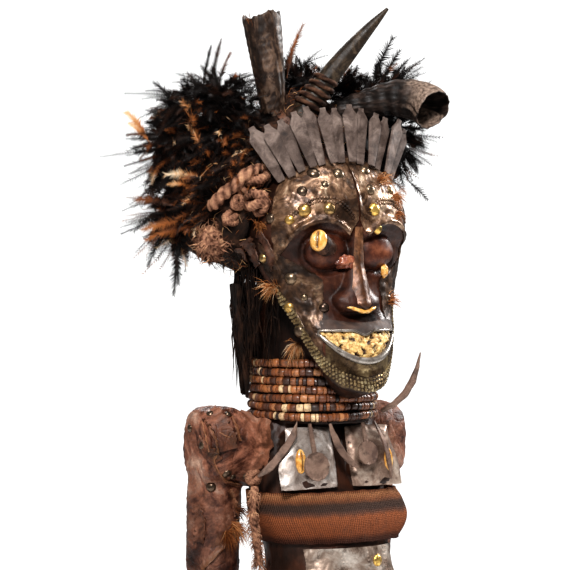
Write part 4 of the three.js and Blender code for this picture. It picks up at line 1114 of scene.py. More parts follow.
def cowrie(name, middle, facing, radii, slit, *nodes):
    # an oval shell, flat at the back, split along its face by a toothed slit
    obj = added(bpy.ops.mesh.primitive_uv_sphere_add, name, segments=44, ring_count=30, radius=1)
    p = coords(obj, 1)
    front = p[:, 1] < 0
    p[:, 1] *= np.where(front, 1, 0.12)
    groove = np.exp(-(p[:, 0] / slit) ** 2) * ease(np.abs(p[:, 2]), 0.92, 0.6) * front
    teeth = 0.06 * np.sin(p[:, 2] * 26) * np.exp(-(p[:, 0] / (slit * 3)) ** 2) * front
    p[:, 1] += 0.5 * groove + teeth
    # the sunk slit is painted near black: painted shade inside it
    setShade(obj, np.clip(1.25 * groove, 0, 1))
    aim = Vector(facing).normalized()
    side = Vector((0, 0, 1)).cross(-aim).normalized()
    turned = Matrix((side, -aim, side.cross(-aim))).transposed()
    setCoords(obj, (p * radii) @ np.array(turned).T + np.array(middle))
    outward(obj)
    smooth(obj)
    place(obj, shellGold, "gold_shell", *nodes)


def pressedBall(name, middle, radii, swell, turn=0):
    # a ball pulled to size after it is swollen unevenly
    obj = added(bpy.ops.mesh.primitive_ico_sphere_add, name, subdivisions=4, radius=1)
    p = coords(obj, 1)
    p *= (1 + swell(p * 10))[:, None]
    spin = np.array(Matrix.Rotation(math.radians(turn), 3, "Z"))
    setCoords(obj, (p * radii) @ spin.T + np.array(middle))
    smooth(obj)
    return obj


def lump(name, middle, radii, turn, seed, rough):
    def swell(p):
        return rough * grain(p, 6, seed) + rough * 0.5 * grain(p, 2.6, seed + 3)

    return pressedBall(name, middle, radii, swell, turn)


cowrie("eye_cowrie", tubeRoot + tubeWay * (eyeTube["length"] + 1.2), tubeWay, (8.6, 6.4, 10.8), 0.13,
       "eye_shell_right")
place(lump("eye_resin", headPoint(-11, 598, 3), (12, 8, 8), -11, 3.0, 0.35), resinBrown, "resin",
      "eye_resin_right")
place(lump("left_eye_chip", headPoint(38, 589, 4), (5.5, 3.6, 7), 38, 5.0, 0.25), shellGold, "gold_shell",
      "eye_shell_left")


def tackMaterial():
    look = Look("tack_brass", 0.3, 0.85)
    colour = look.ramp(look.shade(), (0.0, 0.09, 0.06, 0.045), (0.4, 0.28, 0.2, 0.13), (0.75, 0.58, 0.36, 0.12),
                       (1.0, 0.85, 0.55, 0.15))
    grime = look.noise(260, 5, 0.6)
    colour = look.stain(colour, grime, 0.45, 0.62, 0.7, (0.03, 0.017, 0.01))
    return look.finished(colour, None, grime, 0.2, 0.0006)


tackFinish = tackMaterial()


def placeTacks(name, spots):
    # spots: (point, out, radius, brightness)
    obj = copies(name, tackShape, [frameAt(p, out, r) for p, out, r, _ in spots], [b for *_, b in spots])
    smooth(obj)
    place(obj, tackFinish, "sheet_copper")


# domed tacks: across the view, height above the soles, head radius, how bright the brass is
faceTacks = [(-12, 684, 5.6, 0.15), (12, 684, 5.4, 0.3), (-23, 666, 4.6, 0.1), (-21, 647, 5.6, 0.75),
             (3, 649, 5.4, 0.6), (-35, 638, 4.2, 0.8), (-54, 640, 4.4, 0.1), (38, 688, 5, 0.4),
             (43, 669, 4.8, 0.35), (47, 649, 5.6, 1.0), (64, 669, 4.2, 0.5), (48, 630, 4.6, 0.9),
             (-34, 581, 5.2, 0.3), (-36, 553, 4.8, 0.8), (-26, 530, 5, 0.15), (-61, 601, 4.2, 0.6),
             (66, 562, 3.8, 0.1), (-21, 563, 3.2, 0.4), (-2, 553, 4.2, 0.0), (-1, 673, 3.6, 0.2)]
tackScale = 1.12
spots = []
for across, h, radius, bright in faceTacks:
    turn = float(turnAt(across, h, view["turn"], 20, 0.985))
    spots.append((onFace(turn, h, 1.0), headOut(turn, h), radius * tackScale, bright))
placeTacks("face_tacks", spots)
print("eyes and tacks ready")


def breastPiece(side, name):
    # sheet hammered round the square breast
    def put(u, v):
        a, b = u * 2 - 1, v * 2 - 1
        edge = np.maximum(np.abs(a) ** 6, np.abs(b) ** 6)
        # below, the sheet spreads outward onto the chest
        spread = 11 * np.clip(side * a, 0, 1) ** 2 * ease(b, 0.8, -0.5)
        x = (breast["half"] + 0.5) * a * (1 - 0.03 * b * b) + side * spread
        z = (breast["high"] + 0.5) * b * (1 - 0.03 * a * a)
        return onBreast(side, np.column_stack([x, -(breast["rise"] + 1.6 - 5.5 * edge) + 0.45 * spread, z]))

    return gridPiece(name, 46, 50, put, 1.0, hammered(0.8, 14, side * 4.0), 0.004, side)


for side, hand, finish in ((-1, "right", "pale_sheet"), (1, "left", "brown_sheet")):
    place(breastPiece(side, "breast_sheet_" + hand), metal[finish], "sheet_iron", "breast_plate_" + hand)


def trunkSpot(turn, h):
    # a place on the trunk's metal, and the direction out of it
    point = trunkPoint(turn, h, 2.0)
    return point, Vector(trunkPoint(turn, h, 3.0) - point)


def bellySheet():
    plate = gridPiece("belly_sheet", 76, 38, lambda u, v: trunkPoint(-50 + 100 * u, 266 + 52 * v, 1.4), 1.0,
                      hammered(0.8, 12, 8.0), 0.006, 2)
    chance = random.Random(5)
    places = []
    for turn in (-13, -9.5, 8, 30, 34):
        for k in range(14):
            places.append(frameAt(*trunkSpot(turn + chance.uniform(-0.5, 0.5), 268 + k * 3.7), 1.1))
    return joined([plate, copies("dots", dotShape, places)], "belly_sheet")


place(bellySheet(), metal["belly_iron"], "sheet_iron", "belly_plate")
placeTacks("belly_tack", [(*trunkSpot(18, 304), 6.2, 0.95)])
cowrie("breast_cowrie_right", onBreast(-1, [(-17, -15, -4)])[0], (0, -1, 0.1), (6, 4.5, 12), 0.14)
cowrie("breast_cowrie_left", onBreast(1, [(18, -14, -6)])[0], (0.2, -1, 0.1), (5.5, 4, 12), 0.14)
print("trunk metal ready")


# each horn: its path, its radius where it is widest and how that changes along it; of the hollow ones also how
# thick the wall is and how much of the length is bored
horns = {
    "upright": {"path": [(-46, 20, 690), (-51, 21, 770), (-61, 24, 846)], "radius": 19.4,
                "swell": [(0, 0.44), (0.4, 0.67), (0.75, 0.91), (1, 1)], "wall": 2.6, "bore": 0.4},
    "slender": {"path": [(-27, 4, 742), (-2, -12, 784), (24, -30, 822), (46, -43, 850)], "radius": 12.3,
                "swell": [(0, 1), (0.5, 0.77), (0.85, 0.4), (1, 0.13)]},
    "open": {"path": [(2, 28, 742), (36, 4, 754), (66, -26, 763), (83, -50, 758), (86, -66, 749)], "radius": 21,
             "swell": [(0, 0.42), (0.45, 0.7), (0.85, 0.97), (1, 1)], "wall": 2.6, "bore": 0.42},
}


def hornTube(horn, sides, steps, relief):
    return tubeRings(sided(horn["path"]), lambda t: horn["radius"] * along(horn["swell"], t), None, (1, 0, 0),
                     sides, steps, relief=relief)


def hollowHorn(horn, steps, relief, ragged):
    # outer wall, rim, then the bore down to its floor; ragged(turn) lowers the rim
    turn = ringTurns(64)
    outer = hornTube(horn, 64, steps, relief)
    centre = outer.mean(axis=1, keepdims=True)
    tangent = unitRows(np.gradient(centre[:, 0], axis=0))
    share = np.linspace(0, 1, steps + 1)
    outer = outer - (ease(share, 0.75, 1)[:, None] * ragged(turn)[None])[:, :, None] * tangent[:, None]
    size = np.linalg.norm(outer - centre, axis=2, keepdims=True)
    thick = np.where(share > 0.9, horn["wall"] * 0.55, horn["wall"])[:, None, None]
    inner = centre + (outer - centre) * np.clip(1 - thick / size, 0.12, 1)
    first = int(steps * (1 - horn["bore"]))
    rim = (outer[-1:] * 0.5 + inner[-1:] * 0.5) + tangent[-1] * 0.6
    return np.concatenate([outer, rim, inner[first:][::-1]])


def viewAcross(points):
    # how far to the right points lie as the camera sees them; the view's turn has this cosine and sine
    return 0.839 * points[:, 0] - 0.545 * points[:, 1]


def uprightHorn():
    def relief(a, t):
        rings = 0.22 * np.sin(t * 110 + 3 * np.sin(a * 2) + 2 * np.sin(t * 17)) * ease(t, 0.1, 0.4)
        fibres = 0.5 * np.sin(a * 5 + 3 * np.sin(a * 3 + t * 6)) + 0.22 * np.sin(a * 17 + 5 * np.sin(t * 9))
        return rings + fibres * (1.2 - 0.6 * t) - 0.4

    def ragged(a):
        return (4.5 * np.abs(np.sin(a * 2.5 + 0.8)) ** 3 + 7 * bell(a, 3.4, 0.35)
                + 1.2 * np.abs(np.sin(a * 11)))

    return loft("upright_bark_horn", hollowHorn(horns["upright"], 96, relief, ragged))


def slenderHorn():
    def relief(a, t):
        return (0.35 * np.sin(a * 9 + t * 4) + 0.25 * np.sin(t * 120) * ease(t, 0.6, 0.0)) * (1 - t)

    return loft("slender_dark_horn", hornTube(horns["slender"], 40, 120, relief))


def openHorn():
    def relief(a, t):
        fibres = 0.45 * np.sin(a * 16 + 3 * np.sin(t * 9)) * ease(t, 0.05, 0.4)
        return fibres + 0.5 * np.sin(t * 60) * ease(t, 1, 0.6)

    def ragged(a):
        return 1.6 * np.abs(np.sin(a * 2 + 0.4)) + 0.6 * np.sin(a * 9)

    horn = loft("open_grey_horn", hollowHorn(horns["open"], 92, relief, ragged))
    # the outside is worn pale toward the mouth
    points = coords(horn)
    middles = smoothPath(horns["open"]["path"], np.linspace(0, 1, 40))
    near = middles[np.argmin(np.linalg.norm(points[:, None] - middles[None], axis=2), axis=1)]
    outside = np.einsum("ij,ij->i", points - near, normals(horn)) > 0
    setShade(horn, np.where(outside, 0.75 * ease(viewAcross(points) + 9 * grain(points, 12, 3.0), 74, 94), 0))
    return horn


barkHorn = hornMaterial("upright_horn_bark", 95, (1, 1, 0.5), (0.34, 0.005, 0.003, 0.002),
                        (0.5, 0.03, 0.016, 0.01), (0.68, 0.17, 0.105, 0.07))
darkHorn = hornMaterial("slender_horn_black", 70, (1, 1, 1), (0.3, 0.007, 0.005, 0.003),
                        (0.5, 0.028, 0.018, 0.011), (0.72, 0.13, 0.09, 0.056))
greyHorn = hornMaterial("open_horn_grey", 75, (0.5, 0.5, 1.6), (0.34, 0.003, 0.002, 0.0016),
                        (0.5, 0.013, 0.008, 0.006), (0.7, 0.085, 0.056, 0.044))
for make, finish, nodeName in ((uprightHorn, barkHorn, "upright_horn"),
                               (slenderHorn, darkHorn, "slender_horn"),
                               (openHorn, greyHorn, "open_horn")):
    horn = make()
    smooth(horn, 55)
    place(horn, finish, "horn", nodeName)
print("horns ready")


def workedIron(nodeName, name, dents, seed, finish):
    # forged piece: its solid with softened edges, divided and beaten
    obj = copyOf(nodeName, name)
    modify(obj, "BEVEL", width=0.6 * mm, segments=2, limit_method="ANGLE")
    modify(obj, "TRIANGULATE")
    edited(obj, bpy.ops.mesh.subdivide, number_cuts=3)
    points = coords(obj)
    beaten = dents * (grain(points, 8, seed) + 0.6 * grain(points, 3, seed + 4)) - 0.15
    if nodeName == "pendant_tongue_1":
        # it hangs clear of the chest, from higher up
        points += np.array((-0.3, -0.95, 0)) * (5 * ease(points[:, 2], 455, 485))[:, None]
        points += np.array((0.44, -0.29, 0.85)) * np.maximum(points[:, 2] - 452, 0)[:, None]
    setCoords(obj, points + normals(obj) * np.minimum(beaten, 0.35)[:, None])
    smooth(obj, 45)
    place(obj, finish, "forged_iron", nodeName)


for i in range(13):
    workedIron(f"iron_blade_{i + 1}", f"beaten_blade_{i + 1}", 0.45, i * 3.7, metal["forged_iron"])
for nodeName in ("pendant_tongue_1", "pendant_spade_1", "pendant_tongue_2", "pendant_spade_2",
                 "pendant_tongue_3", "iron_hook"):
    workedIron(nodeName, "worn_" + nodeName, 0.5, len(nodeName), metal["pendant_iron"])
print("iron ready")


def beadMaterial():
    look = Look("shell_discs", 0.5, Coat_Weight=0.15)
    colour = look.ramp(look.shade(), (0.0, 0.009, 0.004, 0.003), (0.3, 0.04, 0.013, 0.006),
                       (0.5, 0.15, 0.044, 0.014), (0.75, 0.36, 0.13, 0.042), (1.0, 0.75, 0.54, 0.31))
    grime = look.noise(210, 6, 0.65)
    colour = look.stain(colour, grime, 0.46, 0.66, 0.8, (0.045, 0.02, 0.012))
    return look.finished(colour, look.ramp(grime, (0.4, 0.4), (0.7, 0.7)), grime, 0.5, 0.001)


beads = {
    "ring": 62.0, "middle": 22, "first": 506.6, "pitch": 8.6, "across": 8.1, "thick": 7.4,
    "thins": (0.4, 0.5, 0.65, 0.8, 1),
    "tones": (0.1, 0.28, 0.4, 0.46, 0.5, 0.54, 0.58, 0.62, 0.66, 0.7, 0.74, 0.97),
}
disc = added(bpy.ops.mesh.primitive_cylinder_add, vertices=14, radius=mm, depth=mm)
modify(disc, "BEVEL", width=0.13 * mm, segments=1, limit_method="ANGLE")
beadShape, beadFinish = template(disc), beadMaterial()


def beadStrand(index):
    chance = random.Random(60 + index)
    places, shades = [], []
    turn = chance.uniform(0, 6)
    while turn < 360:
        thick = beads["thick"] * chance.choice(beads["thins"]) * (1 if index else 0.8)
        half = math.degrees(thick / 2 / beads["ring"])
        turn += half
        a = math.radians(turn)
        sag = (-1.2 if index == 0 else -0.5) * max(0, math.cos(a + 0.4)) + 0.5 * math.sin(3 * a + index * 1.7)
        point = Vector((math.sin(a), -math.cos(a), 0)) * (beads["ring"] + chance.uniform(-0.4, 0.5)) + Vector(
            (0, beads["middle"], beads["first"] + beads["pitch"] * index + sag + chance.uniform(-0.25, 0.25)))
        wayRound = Vector((math.cos(a) + chance.uniform(-0.1, 0.1), math.sin(a), chance.uniform(-0.08, 0.08)))
        wide = beads["across"] * chance.uniform(0.93, 1.04)
        places.append(frameAt(point, wayRound, (wide / 2, wide / 2, thick * 0.94), chance.uniform(0, 3)))
        shades.append(min(1, max(0, chance.choice(beads["tones"]) + chance.uniform(-0.06, 0.06))))
        turn += half
    obj = copies(f"disc_strand_{index + 1}", beadShape, places, shades)
    smooth(obj, 40)
    place(obj, beadFinish, "bead_disc", f"bead_strand_{index + 1}")


for i in range(7):
    beadStrand(i)
print("beads ready")

band = {"low": 382.6, "high": 431.4, "lift": 3.4, "thick": 1.8, "columns": 240, "rows": 22, "mapHeight": 0.049}


def bandMaterial():
    # rust ground with a dark stripe, ribbed along the warp; its own map runs round and up in metres
    look = Look("woven_band", 0.85, Specular_IOR_Level=0.1)
    weave = look.node("UVMap", {}, uv_map="weave").outputs["UV"]
    high = look.node("SeparateXYZ", {"Vector": weave}).outputs["Y"]
    waver = look.calc("MULTIPLY", look.calc("SUBTRACT", look.noise(60, 4, place=weave), 0.5), 0.004)
    share = look.calc("DIVIDE", look.calc("ADD", high, waver), band["mapHeight"])
    stripes = look.ramp(share, (0.0, 0.04, 0.014, 0.009), (0.08, 0.07, 0.024, 0.013), (0.18, 0.2, 0.062, 0.026),
                        (0.5, 0.27, 0.088, 0.036), (0.58, 0.12, 0.055, 0.036), (0.64, 0.06, 0.036, 0.028),
                        (0.74, 0.065, 0.038, 0.028), (0.82, 0.22, 0.085, 0.04), (0.93, 0.36, 0.16, 0.075),
                        (1.0, 0.16, 0.055, 0.026))
    ribs = look.node("TexWave", {"Vector": weave, "Scale": 140.0, "Distortion": 1.2, "Detail": 2.0,
                                 "Detail Scale": 3.0}, bands_direction="X").outputs["Fac"]
    weft = look.node("TexWave", {"Vector": weave, "Scale": 190.0, "Distortion": 1.5, "Detail": 2.0},
                     bands_direction="Y").outputs["Fac"]
    colour = look.darken(0.6, stripes, ribs, 0.1, 0.3, 0.7)
    colour = look.stain(colour, look.noise(120, 7, 0.7, place=weave), 0.5, 0.7, 0.55, (0.06, 0.03, 0.02))
    return look.finished(colour, None, look.mix(0.35, ribs, weft), 0.9, 0.0015)


def bandPoint(turn, z):
    # the band lies over the breast plates in front, is folded at one side, and its edges turn in
    v = (z - band["low"]) / (band["high"] - band["low"])
    belly = trunkPoint(turn, z - baseHeight, band["lift"])
    over = 3.2 * bell(np.abs(turn), 26, 28) * ease(z, 415, 431)
    fold = 12.5 * bell(turn, 62, 21) * np.sin(np.pi * np.clip(v, 0.06, 0.94)) ** 0.35
    swell = 1.6 * np.sin(np.pi * v) - 0.6 + over + fold
    return belly + (trunkPoint(turn, z - baseHeight, band["lift"] + 1) - belly) * swell[..., None]


def chestBand():
    columns, rows = band["columns"], band["rows"]
    turns = np.arange(columns) / columns * 360 - 180
    lowEdge = 0.9 * np.array([noise.noise((t * 0.11, 3.0, 0)) for t in turns])
    highEdge = 0.9 * np.array([noise.noise((t * 0.13, 8.0, 2)) for t in turns])
    points = np.array([bandPoint(turns, band["low"] + (band["high"] - band["low"]) * v + lowEdge * (1 - v)
                                 + highEdge * v) for v in np.linspace(0, 1, rows)])
    out = unitRows((points - [0, 10, 0]).reshape(-1, 3) * [1, 1, 0])
    points += (0.5 * grain(points.reshape(-1, 3), 14, 4.0)[:, None] * out).reshape(points.shape)
    obj = meshFrom("chest_cloth", points, stripFaces(rows, columns, True))
    middle = points[rows // 2]
    run = runOf(np.vstack([middle, middle[:1]]))
    flat = []
    for i in range(rows - 1):
        low, high = [k / (rows - 1) * band["mapHeight"] for k in (i, i + 1)]
        for j in range(columns):
            flat += [run[j] * mm, low, run[j + 1] * mm, low, run[j + 1] * mm, high, run[j] * mm, high]
    obj.data.uv_layers.new(name="weave").data.foreach_set("uv", flat)
    outward(obj)
    modify(obj, "SOLIDIFY", thickness=band["thick"] * mm, offset=0)
    smooth(obj, 50)
    return obj, run[-1] * mm


cloth, clothRun = chestBand()
place(cloth, bandMaterial(), "woven_band", "chest_band")
print("band ready", round(clothRun, 4))


def viewRay(across, height):
    # the camera's line of sight through a point so far from the view's axis and above the floor
    right = Vector((math.cos(turnView), math.sin(turnView), 0))
    target = Vector(view["target"])
    point = target + right * (across - target.dot(right) / mm) * mm + Vector((0, 0, height * mm - target.z))
    return camera.location.copy(), (point - camera.location).normalized()


def seenOn(pieces, across, height):
    # where that line first meets one of the pieces, and the piece's direction out there
    start, way = viewRay(across, height)
    met = [hit for hit in (piece.ray_cast(start, way) for piece in pieces) if hit[0]]
    if not met:
        raise ValueError(f"nothing is seen at {across}, {height}")
    nearest = min(met, key=lambda hit: (hit[1] - start).length)
    return nearest[1] / mm, nearest[2]


def seenPlace(across, height, depth):
    # the point on that line that lies so deep behind the figure's axis
    start, way = viewRay(across, height)
    return (start - way * ((depth * mm + start.dot(camWay)) / way.dot(camWay))) / mm


capFinish = fibreMaterial("matted_fibre", (0.35, 0.004, 0.0025, 0.002), (0.55, 0.016, 0.008, 0.005),
                          (0.75, 0.06, 0.027, 0.015), (0.95, 0.15, 0.075, 0.042))


# each of the cap's lumps is (rise, breadth, seed); its edge is tucked up at (place across the view, width,
# rise)
capShape = {"voxel": 3.3, "lumps": ((3.4, 24, 1.5), (2.4, 9, 6.5), (1.2, 4.5, 11.0)), "most": 3.0,
            "tuck": (-104, 22, 16)}


def fibreCap():
    cap = copyOf("fibre_cap", "matted_cap")
    remesh(cap, capShape["voxel"])
    modify(cap, "SMOOTH", factor=0.6, iterations=4)
    points = coords(cap)
    lumps = sum(rise * grain(points, breadth, seed) for rise, breadth, seed in capShape["lumps"])
    points += normals(cap) * (np.minimum(lumps, capShape["most"]) * ease(points[:, 1], -30, 10))[:, None]
    # its lower edge is drawn up where the ball of fibre sits
    middle, width, rise = capShape["tuck"]
    points[:, 2] += rise * bell(viewAcross(points), middle, width) * ease(points[:, 2], 672, 640)
    setCoords(cap, points)
    # lighter on the lumps and darker between them: painted light and painted shade
    setShade(cap, np.clip(0.5 + lumps / 8, 0, 1))
    smooth(cap)
    return place(cap, capFinish, "fibre", "fibre_cap")


cap = fibreCap()


def ropeKnot(name, middle, size, lean, seed):
    # rope wound twice over itself into a ball
    chance = random.Random(seed)
    axis = Vector((chance.uniform(-1, 1), -1, chance.uniform(-0.6, 0.6)))
    turned = Matrix.Rotation(math.radians(lean), 3, axis)
    points = []
    for k in range(46):
        t = k / 45
        a, tip = t * 2 * math.pi * 2.6, t * math.pi * 1.1 + 0.2
        spot = Vector((math.cos(a), math.sin(a) * math.cos(tip), math.sin(a) * math.sin(tip) * 0.9))
        points.append(turned @ (spot * size * (0.72 + 0.1 * math.sin(t * 17 + seed))) + Vector(middle))
    return twistedTube(name, points, lambda t: size * 0.36 * min(1, 0.5 + t * 6, 0.5 + (1 - t) * 6), 3, 13, 96,
                       (0.3, 0.5, 0.8), 10)


# knots of rope on the cap that the camera sees: across the view, height above the floor, size, lean
capKnots = [(-69, 742, 12.5, 15), (-66, 717, 13.5, 150), (-74, 693, 12, 60), (-94, 702, 9, 20),
            (-87, 718, 8, 95), (-82, 733, 8, 130)]
# and behind, out of the photograph: degrees from straight ahead, height above the soles, size
backKnots = [(118, 660, 13), (140, 650, 14), (162, 655, 13), (185, 648, 14), (128, 632, 12), (150, 626, 13),
             (174, 628, 12), (196, 634, 13), (100, 668, 12), (108, 642, 12), (172, 605, 12), (148, 602, 12)]
fibreBall = {"across": -111, "height": 679, "size": 15.5, "fibres": 520}


def fibreBallParts():
    # a ball of bark fibre below the knots, with its ends standing out all round
    point, out = seenOn([cap], fibreBall["across"], fibreBall["height"])
    middle = point + out * 2
    size = fibreBall["size"]
    ball = pressedBall("ball", middle, (size,) * 3,
                       lambda p: 0.12 * grain(p, 5, 3.0) + 0.1 * np.abs(grain(p, 2.2, 9.0)))
    setShade(ball, np.clip(0.4 + 2.5 * grain((coords(ball) - np.array(middle)) / size * 10, 2.2, 9.0), 0, 1))
    chance = random.Random(71)
    rows = []
    for _ in range(fibreBall["fibres"]):
        way = scatter(chance).normalized()
        start = middle + way * 14
        side = way.cross(scatter(chance)).normalized()
        run = chance.uniform(3, 8) if chance.random() < 0.75 else chance.uniform(9, 16)
        rows.append((start, start + way * run * 0.5 + side * run * 0.35,
                     start + way * run * 0.6 + side * run * 0.9, chance.choice((0, 0.3, 0.6, 1))))
    return [ball, hairs("ball_fibres", *zip(*rows), 0.5)]


def capRopes():
    parts = []
    for i, (across, height, size, lean) in enumerate(capKnots):
        point, out = seenOn([cap], across, height)
        parts.append(ropeKnot("knot", point + out * size * 0.2, size, lean, i))
    for i, (turn, height, size) in enumerate(backKnots):
        way = Vector((math.sin(math.radians(turn)), -math.cos(math.radians(turn)), 0))
        hit, point, out, _ = cap.ray_cast(way * 0.4 + Vector((0, 0, (height + baseHeight) * mm)), -way)
        if hit:
            parts.append(ropeKnot("knot", point / mm + out * size * 0.1, size, 37 * i, 40 + i))
    # a twisted strap from the lowest knots up to the blades
    hits = [seenOn([cap], a, z) for a, z in ((-112, 712), (-103, 724), (-92, 735), (-80, 747), (-66, 756))]
    parts.append(twistedTube(
        "strap", smoothPath([p + o * 7 for p, o in hits], np.linspace(0, 1, 40)),
        lambda t: 6 * min(1, 0.55 + t * 4, 0.55 + (1 - t) * 4), 2, 4, 80, (0.3, 0.5, 0.8), 14))
    ropes = joined(parts + fibreBallParts(), "cap_ropes")
    points = coords(ropes)
    gnarls = 1.2 * grain(points, 7, 5.0) + 0.7 * grain(points, 3, 8.0)
    setCoords(ropes, points + normals(ropes) * gnarls[:, None])
    return place(ropes, ropeFinish, "fibre")


ropes = capRopes()
place(ropeKnot("armpit_tie", (-84, 2, 446), 8.4, 30, 77), ropeFinish, "fibre", "armpit_knot")
print("cap ready", triangles(ropes))


def featherMaterial():
    look = Look("cock_feathers", 0.5, Specular_IOR_Level=0.15)
    speck = look.calc("MULTIPLY", look.calc("SUBTRACT", look.noise(90, 5, 0.6), 0.5), 0.22)
    colour = look.ramp(look.calc("ADD", look.shade(), speck), (0.0, 0.003, 0.0023, 0.002),
                       (0.22, 0.01, 0.005, 0.0035), (0.42, 0.04, 0.014, 0.006), (0.62, 0.13, 0.04, 0.012),
                       (0.78, 0.34, 0.12, 0.034), (0.9, 0.5, 0.28, 0.13), (1.0, 0.68, 0.54, 0.38))
    return look.finished(colour)


featherFinish = featherMaterial()


def capFibres(count):
    # loose fibre that stands off the cap all over
    chance = np.random.default_rng(17)
    points, out = coords(cap), normals(cap)
    chosen = chance.choice(np.nonzero((points[:, 1] > -25) & (points[:, 2] > 615))[0], count)
    foot, out = points[chosen], out[chosen]
    way = unitRows(np.cross(out, chance.normal(size=(count, 3))))
    run = chance.uniform(5, 17, (count, 1))
    bends = foot + way * run * 0.5 + out * run * chance.uniform(0.1, 0.45, (count, 1))
    tips = foot + way * run + out * run * chance.uniform(-0.1, 0.55, (count, 1)) - [0, 0, 1] * run * 0.15
    shades = chance.choice((0.02, 0.2, 0.35, 0.45, 0.55, 0.66, 0.9), count)
    return hairs("cap_fibres", foot - out * 0.5, bends, tips, shades, 0.34)


place(capFibres(3000), featherFinish, "feather")
barb = {
    "gap": 1.0, "half": 0.62, "thick": 0.25,
    "first": 0.14,  # how far up the quill the barbs begin
    "angle": 56,  # degrees from the quill, and by how much it closes toward the tip
    "closing": 28,
}


def feather(root, way, facing, length, width, bend, tone, chance):
    # one feather: a curved quill, and barbs down both its sides that lie in one plane
    root, way = np.array(root, float), np.array(way, float) / np.linalg.norm(way)
    side = np.cross(facing, way)
    side /= max(np.linalg.norm(side), 1e-6)
    droop = np.array(bend, float) * length

    def spot(t):
        return root + way * length * t[:, None] + droop * (t * t)[:, None]

    count = int(length * 0.84 / barb["gap"])
    t = np.repeat(np.linspace(barb["first"], 0.995, count), 2)
    hand = np.tile([-1.0, 1.0], count)
    base = spot(t)
    tangent = unitRows(way * length + 2 * droop * t[:, None])
    sideHere = unitRows(side - (tangent @ side)[:, None] * tangent)
    phase = chance.uniform(0, 6)
    lean = barb["angle"] - barb["closing"] * ease(t, 0.5, 1) + 8 * np.sin(t * 15 + phase)
    angle = np.radians(lean + [chance.gauss(0, 5) for _ in t])
    reach = (width * (0.4 + 0.6 * ease(t, 0.05, 0.4)) * (1 - 0.3 * ease(t, 0.75, 1))
             * (0.92 + 0.12 * np.sin(t * 31 + phase * 2)) * [chance.uniform(0.75, 1.1) for _ in t])
    lift = (0.14 * np.sin(t * 5 + phase) + [chance.gauss(0, 0.05) for _ in t]) * reach
    out = (np.sin(angle) * hand * reach)[:, None] * sideHere + (np.cos(angle) * reach)[:, None] * tangent
    tip = base + out + lift[:, None] * np.cross(tangent, sideHere)
    tones = tone[0] + (tone[1] - tone[0]) * ease(t, 0.2, 0.85) + [chance.uniform(-0.05, 0.05) for _ in t]
    # the foot of each barb is a small triangle that faces back along it
    flat = tangent * barb["half"]
    thick = unitRows(np.cross(out, tangent)) * barb["thick"]
    blades = np.stack([base - flat, base + flat, base + thick - out * 0.03, tip], axis=1)
    return blades, np.clip(tones, 0, 1), spot(np.linspace(0, 1, 6)), min(1, tone[0] + 0.1)


def bundle(name, nodeName, feathers, core, seed):
    # feathers: (root, way, length, width, bend, tone); core: the dark mat between their quills
    chance = random.Random(seed)
    made = []
    for root, way, length, width, bend, tone in feathers:
        loose = np.array([chance.uniform(-1, 1) for _ in range(3)])
        facing = (np.array(-camWay) if chance.random() < 0.94 else loose) + 0.45 * loose
        made.append(feather(root, way, facing, length, width, bend, tone, chance))
    blades, tones, quills, quillShades = zip(*made)
    points = np.concatenate(blades)
    faces = [(k + a, k + b, k + c) for k in range(0, len(points) * 4, 4)
             for a, b, c in ((0, 2, 1), (0, 1, 3), (1, 2, 3), (2, 0, 3))]
    vanes = meshFrom(name, points, faces, np.repeat(np.concatenate(tones), 4))
    bases = np.concatenate([q[:-1] for q in quills])
    tips = np.concatenate([q[1:] + (q[1:] - q[:-1]) * 0.15 for q in quills])
    radii = np.tile(np.linspace(0.75, 0.3, 5), len(quills))
    shafts = hairs("quills", bases, None, tips, np.repeat(quillShades, 5), radii)
    place(joined([vanes, shafts, core], name), featherFinish, "feather", nodeName)


def featherCore(middle, radii, seed):
    obj = pressedBall("core", middle, radii, lambda p: 0.3 * grain(p, 4, seed))
    setShade(obj, np.full(len(obj.data.vertices), 0.06))
    return obj


def spray(middle, radii, lead, spread, count, lengths, widths, droop, tones, seed):
    # feathers that leave a centre within a cone about the lead direction
    chance = random.Random(seed)
    out = []
    for _ in range(count):
        way = scatter(chance).normalized()
        while way.angle(Vector(lead)) >= math.radians(spread):
            way = scatter(chance).normalized()
        depth = chance.uniform(0.25, 0.95)
        root = Vector(middle) + Vector([w * r * depth for w, r in zip(way, radii)])
        swing = Vector((chance.gauss(0, 0.5), chance.gauss(0, 0.5), -droop * chance.uniform(0.2, 1.8)))
        out.append((root, way, chance.uniform(*lengths), chance.uniform(*widths), swing, chance.choice(tones)))
    return out


def onCap(spots, lead, swing, lengths, widths, tones, count, seed):
    # feathers that sprout from the cap where the camera sees it, within a box of (across, height)
    chance = random.Random(seed)
    out = []
    for _ in range(count):
        start, way = viewRay(chance.uniform(*spots[0]), chance.uniform(*spots[1]))
        hit, point, normal, _ = cap.ray_cast(start, way)
        if hit:
            aim = (Vector(lead) + normal * 0.45 + scatter(chance) * 0.45).normalized()
            bend = Vector(swing) * chance.uniform(0.3, 1) + scatter(chance, 0.18)
            out.append((point / mm - normal * 1.5, aim, chance.uniform(*lengths), chance.uniform(*widths), bend,
                        chance.choice(tones)))
    return out


def singles(rows):
    # each feather between two points of the view: across, height and depth of its foot and of its tip,
    # its width, how it bends sideways and up, and its tone
    out = []
    for a, z, d, tipA, tipZ, tipD, width, bendX, bendZ, tone in rows:
        root, bend = seenPlace(a, z, d), Vector((bendX, 0, bendZ))
        run = seenPlace(tipA, tipZ, tipD) - root
        out.append((root, run / run.length - bend, run.length, width, bend, tone))
    return out


